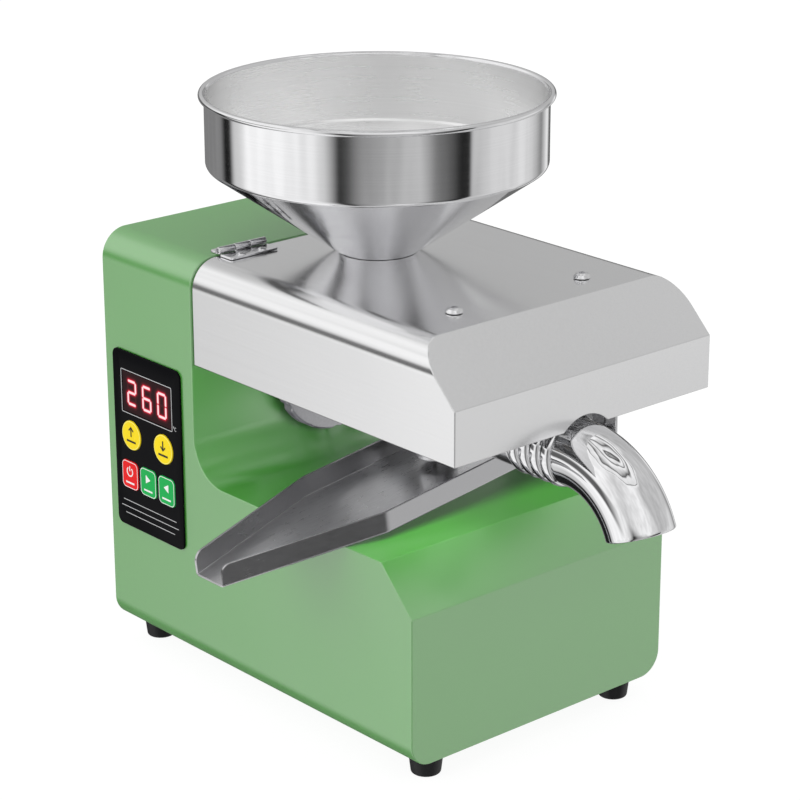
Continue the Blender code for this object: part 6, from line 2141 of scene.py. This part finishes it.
@dataclass(frozen=True)
class Outlet:
    """The ribbed nut on the muzzle and the chrome elbow in front of it."""

    ribs: int = 4
    groove: float = 2.4
    choke: float = 9.6
    thread: float = 14.3
    elbow_radius: float = 16.8
    elbow_wall: float = 2.0
    bend_radius: float = 43.9
    straight: float = 3.0
    angle: float = 70.0
    lip: float = 0.9
    spacing: float = 1.2

    def nut(self, shop: Workshop, press: float) -> None:
        """Make the nut with its rounded ribs.

        Args:
            shop: the workshop.
            press: the barrel's height.
        """
        low, high = shop.bench.span("adjuster_nut")
        outer = (high[2] - low[2]) / 2
        thread_face = shop.bench.span("press_barrel")[1][0]
        rib = (high[0] - low[0]) / self.ribs
        share = np.linspace(-1.0, 1.0, 15)[None, :]
        middle = low[0] + rib * (np.arange(self.ribs)[:, None] + 0.5)
        crest_x = middle + share * (rib / 2 - 0.15)
        crest = outer - self.groove * (1 - np.sqrt(1 - 0.985 * share**2)) + 0 * middle
        ribs = np.stack([crest_x, crest], axis=-1).reshape(-1, 2)
        inside = [
            (high[0], self.elbow_radius - self.elbow_wall), (thread_face + 8, self.choke),
            (thread_face + 0.3, 12.0), (thread_face + 0.3, self.thread), (low[0], self.thread),
        ]
        surface = spun(np.vstack([ribs, inside]), Axis.X, (0.0, press), 96)
        nut = shop.piece("adjuster_nut_turned", surface, 40.0)
        shop.deliver(nut, "root", "chrome", "adjuster_nut")

    def elbow(self, shop: Workshop, press: float) -> None:
        """Make the elbow: a tube's wall carried along a short straight and a bend.

        Past the straight, a distance s along the tube turns it down by s over the
        bend's radius, and each point keeps its place across the tube.

        Args:
            shop: the workshop.
            press: the barrel's height.
        """
        rear = shop.bench.span("outlet_elbow")[0][0]
        length = self.straight + self.bend_radius * math.radians(self.angle)
        inner = self.elbow_radius - self.elbow_wall
        corners = [(0.0, inner), (0.0, self.elbow_radius), (length, self.elbow_radius), (length, inner)]
        profile = refined(rounded(corners, [0.3, 0.5, self.lip, self.lip], 6), self.spacing)
        around = np.linspace(0.0, FULL_TURN, 96, endpoint=False)[None, :]
        along, radius = profile[:, :1], profile[:, 1:]
        turn = np.maximum(along - self.straight, 0.0) / self.bend_radius
        up = radius * np.cos(around)
        x = rear + np.minimum(along, self.straight) + (self.bend_radius + up) * np.sin(turn)
        z = press - self.bend_radius + (self.bend_radius + up) * np.cos(turn)
        points = np.stack([x, radius * np.sin(around), z], axis=-1)
        item = shop.piece("outlet_elbow_bent", woven(points, wrap_rows=True, wrap_columns=True), 40.0)
        shop.deliver(item, "root", "chrome", "outlet_elbow")

    def build(self, shop: Workshop) -> None:
        """Make the nut and the elbow.

        Args:
            shop: the workshop.
        """
        press = shop.bench.centre("press_barrel")[2]
        self.nut(shop, press)
        self.elbow(shop, press)


@dataclass(frozen=True)
class Tray:
    """The folded oil tray and the splash plate behind it."""

    sheet: float = 1.2
    slope: float = 0.136
    pivot: tuple[float, float] = (-85.0, 114.3)
    wide: tuple[float, float] = (-103.9, -40.5)
    tip: tuple[float, float] = (-82.8, -61.9)
    tip_y: float = -147.86
    crease_y: float = -63.8
    far_y: float = 74.95
    wall: float = 10.4
    corner: float = 5.0
    fold: float = 1.6
    edge: float = 0.28

    def channel(self) -> Surface:
        """The tray's outer skin, flat, with its floor's top at 0.

        Along the tray its sides run out from the tip to the crease and then stay.
        The walls' height follows a quarter circle down at both ends. Across it,
        each station is wall, fold, floor, fold, wall.

        Returns:
            The skin, whose thickness goes inwards.
        """
        stretch = math.sqrt(1 + self.slope**2)
        stations = (self.tip_y, self.crease_y, self.far_y)
        tip, crease, far = ((y - self.pivot[0]) * stretch for y in stations)
        ease = self.corner * (1 - np.cos(np.linspace(0, math.pi / 2, 9)))
        along = np.concatenate([tip + ease, np.linspace(tip + 8, crease - 2, 14), [crease],
                                np.linspace(crease + 2, far - 8, 22), far - ease[::-1]])
        end = np.minimum(along - tip, far - along)
        short = np.maximum(0.0, self.corner - end)
        drop = self.corner - np.sqrt(np.maximum(0.0, self.corner**2 - short**2))
        height = self.wall - drop
        left = np.interp(along, [tip, crease, far], [self.tip[0], self.wide[0], self.wide[0]])
        right = np.interp(along, [tip, crease, far], [self.tip[1], self.wide[1], self.wide[1]])
        base = -self.sheet
        rise = np.array([1.0, 0.5])
        wall_z = base + self.fold + (height[:, None] - base - self.fold) * rise
        inward = np.concatenate([np.zeros(2), self.fold * (1 - np.cos(np.linspace(0, math.pi / 2, 7)))])
        lower = self.fold * (1 - np.sin(np.linspace(0, math.pi / 2, 7)))
        fold_z = np.broadcast_to(base + lower, (len(along), 7))
        half_z = np.hstack([wall_z, fold_z])
        middle = np.linspace(0.15, 0.85, 8)
        x_left = left[:, None] + inward
        x_right = right[:, None] - inward
        x_floor = (left + self.fold)[:, None] + (right - left - 2 * self.fold)[:, None] * middle
        z_floor = np.full(x_floor.shape, base)
        x = np.hstack([x_left, x_floor, x_right[:, ::-1]])
        z = np.hstack([half_z, z_floor, half_z[:, ::-1]])
        y = np.broadcast_to(along[:, None], x.shape)
        return woven(np.stack([x, y, z], axis=-1))

    def build(self, shop: Workshop) -> None:
        """Make the tray, tip it, and make the splash plate.

        Args:
            shop: the workshop.
        """
        tilt = Matrix.Rotation(math.atan(self.slope), 4, "X")
        place = Matrix.Translation((0.0, self.pivot[0], self.pivot[1])) @ tilt
        tray = shop.piece("oil_tray_folded", self.channel().moved(place), 60.0)
        self.point_down(tray)
        wall = tray.modifiers.new("sheet", "SOLIDIFY")
        wall.thickness = self.sheet * MM
        wall.offset = -1.0
        wall.use_even_offset = True
        shop.softened(tray, self.edge, 2, 40.0)
        shop.deliver(tray, "tray", "tray_steel", "oil_tray", slot="stainless")
        # The upright walls take the darker copy of the tray's steel, which paints their shade.
        shop.lined(tray, "tray_wall_painted_shade", lambda middle, normal: np.abs(normal[:, 2]) < 0.6)
        plate = shop.softened(shop.copied("tray_rest", "tray_rest_bent"), 0.4, 2)
        shop.deliver(plate, "root", "bright_steel", "tray_rest", slot="stainless")

    def point_down(self, tray: bpy.types.Object) -> None:
        """Turn the open skin so that its floor faces down, away from the sheet."""
        mesh = tray.data
        lowest = min(mesh.polygons, key=lambda face: abs(abs(face.normal.z) - 1) + face.center.z)
        if lowest.normal.z > 0:
            mesh.flip_normals()


class Drive:
    """The pieces inside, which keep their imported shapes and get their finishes."""

    def build(self, shop: Workshop) -> None:
        """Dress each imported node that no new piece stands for.

        Args:
            shop: the workshop.
        """
        subparts = shop.frame["record"]["subparts"]
        slots = {row["node"]: row.get("material_slot") for row in subparts}
        for name, item in shop.frame["nodes"].items():
            if not item.hide_render:
                shop.dress(name, slots.get(name) or "steel")


# The studio


@dataclass(frozen=True)
class Studio:
    """The camera, the floor and the light."""

    focal_length: float = 121.79
    stand: tuple[float, float, float] = (868.5, -852.8, 611.5)
    yaw: float = 48.78
    pitch: float = 19.55
    roll: float = -0.11
    floor_size: float = 8.0
    ambient: float = 0.95
    fill: tuple[float, float, float] = (-25.0, -10.0, 190.0)
    recess: tuple[float, float, float] = (-120.0, -20.0, 110.0)

    def camera(self, bench: Bench) -> None:
        """Set up the camera.

        Args:
            bench: the bench.
        """
        yaw, pitch, roll = (math.radians(part) for part in (self.yaw, self.pitch, self.roll))
        ahead = Vector((-math.sin(yaw) * math.cos(pitch), math.cos(yaw) * math.cos(pitch), -math.sin(pitch)))
        right = Vector((math.cos(yaw), math.sin(yaw), 0.0))
        up = right.cross(ahead)
        across = right * math.cos(roll) + up * math.sin(roll)
        above = up * math.cos(roll) - right * math.sin(roll)
        data = bpy.data.cameras.new("camera")
        data.lens = self.focal_length
        data.sensor_width = 36.0
        data.clip_start = 0.05
        data.clip_end = 50.0
        item = linked("camera", data)
        matrix = Matrix((across, above, -ahead)).transposed().to_4x4()
        matrix.translation = Vector(bench.to_frame(np.array(self.stand)))
        item.matrix_world = matrix
        bpy.context.scene.camera = item

    def floor(self) -> None:
        """Lay the pale floor, which stays out of the metal's reflections."""
        half = self.floor_size / 2
        mesh = bpy.data.meshes.new("floor")
        corners = [(-half, -half, 0.0), (half, -half, 0.0), (half, half, 0.0), (-half, half, 0.0)]
        mesh.from_pydata(corners, [], [(0, 1, 2, 3)])
        item = linked("floor", mesh)
        material = bpy.data.materials.new("floor")
        material.use_nodes = True
        nodes = material.node_tree.nodes
        nodes.clear()
        sheet = NodeSheet(material.node_tree)
        plain = sheet.add("ShaderNodeBsdfDiffuse", {"Color": (0.78, 0.78, 0.78, 1.0)})
        bright = sheet.add("ShaderNodeEmission", {"Color": (1.0, 1.0, 1.0, 1.0), "Strength": 1.08})
        seen = sheet.add("ShaderNodeLightPath").outputs["Is Camera Ray"]
        share = sheet.math("MULTIPLY", seen, 0.86)
        mix = sheet.add("ShaderNodeMixShader", {0: share, 1: plain.outputs[0], 2: bright.outputs[0]})
        sheet.add("ShaderNodeOutputMaterial", {"Surface": mix.outputs[0]})
        mesh.materials.append(material)
        item.visible_glossy = False

    def surroundings(self) -> None:
        """Surround the press with soft boxes and dark flags, which only the gloss sees.

        The direction of a ray gives an azimuth, from the camera's side towards its
        right, and an elevation. One ramp over azimuth serves the low band, one the
        high band, and rings about the zenith close it.
        """
        yaw = math.radians(self.yaw)
        toward = (math.sin(yaw), -math.cos(yaw), 0.0)
        right = (math.cos(yaw), math.sin(yaw), 0.0)
        world = bpy.data.worlds.new("studio")
        bpy.context.scene.world = world
        world.use_nodes = True
        world.cycles.sampling_method = "NONE"
        nodes = world.node_tree.nodes
        nodes.clear()
        sheet = NodeSheet(world.node_tree)
        straight = sheet.add("ShaderNodeTexCoord").outputs["Generated"]
        height = sheet.add("ShaderNodeSeparateXYZ", {0: straight}).outputs[2]
        noise = sheet.add("ShaderNodeTexNoise", {"Vector": straight, "Scale": 1.7, "Detail": 1.5})
        bend = sheet.vector("SUBTRACT", noise.outputs["Color"], (0.5, 0.5, 0.5)).outputs[0]
        strength = sheet.ranged(height, (0.30, 0.80), (0.0, 0.9), smooth=True)
        bent = sheet.add("ShaderNodeVectorMath", {0: bend, "Scale": strength}, operation="SCALE").outputs[0]
        moved = sheet.vector("ADD", straight, bent).outputs[0]
        way = sheet.vector("NORMALIZE", moved).outputs[0]
        ahead = sheet.vector("DOT_PRODUCT", way, toward).outputs["Value"]
        aside = sheet.vector("DOT_PRODUCT", way, right).outputs["Value"]
        azimuth = sheet.ranged(sheet.math("ARCTAN2", aside, ahead), (-math.pi, math.pi), (0.0, 1.0))
        upward = sheet.add("ShaderNodeSeparateXYZ", {0: way}).outputs[2]
        elevation = sheet.math("MULTIPLY", sheet.math("ARCSINE", upward), 180 / math.pi)
        low = sheet.ramp(azimuth, self.turned(self.low_band()))
        line = sheet.ramp(
            sheet.ranged(elevation, (-30.0, 30.0), (0.0, 1.0)),
            [(0.32, grey(1.0)), (0.38, grey(0.12)), (0.54, grey(0.14)), (0.62, grey(1.0))],
        )
        where = sheet.ramp(azimuth, self.turned([(-165, 0.0), (-140, 1.0), (-70, 1.0), (-50, 0.0)]))
        low = sheet.tinted(where, low, line)
        high = sheet.ramp(azimuth, self.turned(self.high_band()))
        rise = sheet.ranged(elevation, (0.0, 12.0), (0.0, 1.0), smooth=True)
        walls = sheet.mixed(rise, low, high)
        rings = sheet.ramp(
            sheet.ranged(elevation, (50.0, 90.0), (0.0, 1.0)),
            [(place, grey(value)) for place, value in self.zenith()],
        )
        crown = sheet.ranged(elevation, (50.0, 58.0), (0.0, 1.0), smooth=True)
        room = sheet.mixed(crown, walls, rings)
        patches = sheet.add("ShaderNodeTexNoise", {"Vector": straight, "Scale": 7.0, "Detail": 1.0})
        uneven = sheet.ramp(patches.outputs["Fac"], [(0.35, grey(0.90)), (0.65, grey(1.06))])
        room = sheet.tinted(1.0, room, uneven)
        rays = sheet.add("ShaderNodeLightPath")
        soft = sheet.mixed(rays.outputs["Is Diffuse Ray"], room, (*grey(self.ambient), 1.0))
        seen = sheet.mixed(rays.outputs["Is Camera Ray"], soft, (1.0, 1.0, 1.0, 1.0))
        background = sheet.add("ShaderNodeBackground", {"Color": seen, "Strength": 1.0})
        sheet.add("ShaderNodeOutputWorld", {"Surface": background.outputs[0]})

    def turned(self, stops: list[tuple[float, float]]) -> list[tuple[float, tuple[float, float, float]]]:
        """Stops in degrees of azimuth as places on a ramp from 0 to 1."""
        return [((degrees + 180.0) / 360.0, grey(value)) for degrees, value in stops]

    def low_band(self) -> list[tuple[float, float]]:
        """What stands round the press at table height, by azimuth in degrees."""
        return [
            (-180, 0.20), (-141, 0.25), (-126, 0.25), (-120, 0.01), (-114, 0.02), (-109, 0.60), (-103, 0.66),
            (-98, 0.94), (-95, 1.05), (-52, 0.97), (-41, 0.89), (-35, 0.66), (-30, 0.36), (-25, 0.02),
            (-19, 0.09), (-14, 0.24), (-8, 0.33), (7, 0.46), (28, 0.55), (34, 0.41), (39, 0.22),
            (51, 0.10), (57, 0.02), (63.5, 0.02), (65.5, 0.55), (80, 0.68), (114, 0.79), (125, 0.69),
            (140, 0.27), (155, 0.95), (162, 0.10), (180, 0.20),
        ]

    def high_band(self) -> list[tuple[float, float]]:
        """What stands above table height, by azimuth in degrees."""
        return [
            (-180, 0.50), (-150, 0.60), (-128, 0.95), (-100, 1.0), (-60, 1.0), (-30, 0.70), (-10, 0.85),
            (25, 0.95), (60, 0.55), (80, 0.55), (120, 0.62), (150, 0.50), (180, 0.50),
        ]

    def zenith(self) -> list[tuple[float, float]]:
        """The rings overhead, from elevation 50 at 0 to straight up at 1."""
        return [
            (0.0, 0.80), (0.10, 1.0), (0.15, 0.95), (0.17, 0.08), (0.20, 0.85), (0.38, 0.95), (0.43, 0.08),
            (0.50, 0.60), (0.60, 1.0), (0.65, 0.10), (0.70, 0.80), (0.80, 1.0), (0.87, 0.03), (0.94, 0.50),
            (1.0, 0.02),
        ]

    def lamp(
        self, name: str, size: tuple[float, float], power: float, place: Vector, aim: Vector
    ) -> None:
        """Hang one soft rectangular light that the metal doesn't mirror.

        Args:
            name: the light's name.
            size: its width and height in metres.
            power: its power in watts.
            place: where it hangs.
            aim: what it looks at.
        """
        data = bpy.data.lights.new(name, "AREA")
        data.shape = "RECTANGLE"
        data.size, data.size_y = size
        data.energy = power
        item = linked(name, data)
        item.location = place
        item.rotation_mode = "QUATERNION"
        item.rotation_quaternion = (place - aim).to_track_quat("Z", "Y")
        item.visible_glossy = False

    def build(self, bench: Bench) -> None:
        """Set up camera, floor, surroundings and light.

        Args:
            bench: the bench.
        """
        bpy.context.scene.view_settings.view_transform = "Standard"
        self.camera(bench)
        self.floor()
        self.surroundings()
        self.lamp("key", (1.6, 1.2), 9.0, Vector((-0.35, -1.7, 1.3)), Vector((0.0, 0.0, 0.12)))
        under_cover, recess = (Vector(bench.to_frame(np.array(place))) for place in (self.fill, self.recess))
        self.lamp("fill", (0.13, 0.06), 0.21, under_cover, recess)


def main() -> None:
    """Build the studio and every sub-assembly, in order."""
    logging.basicConfig(level=logging.INFO, format="%(name)s: %(message)s")
    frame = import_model()
    bench = Bench.measured()
    Studio().build(bench)
    shop = Workshop(frame, bench, finishes())
    for part in (
        Casing(), Feet(), RearFittings(), ControlPanel(), Cover(), Hinges(), Hopper(), Barrel(), Outlet(),
        Tray(), Drive(),
    ):
        LOG.info("building %s", type(part).__name__)
        part.build(shop)


if __name__ == "__main__":
    main()
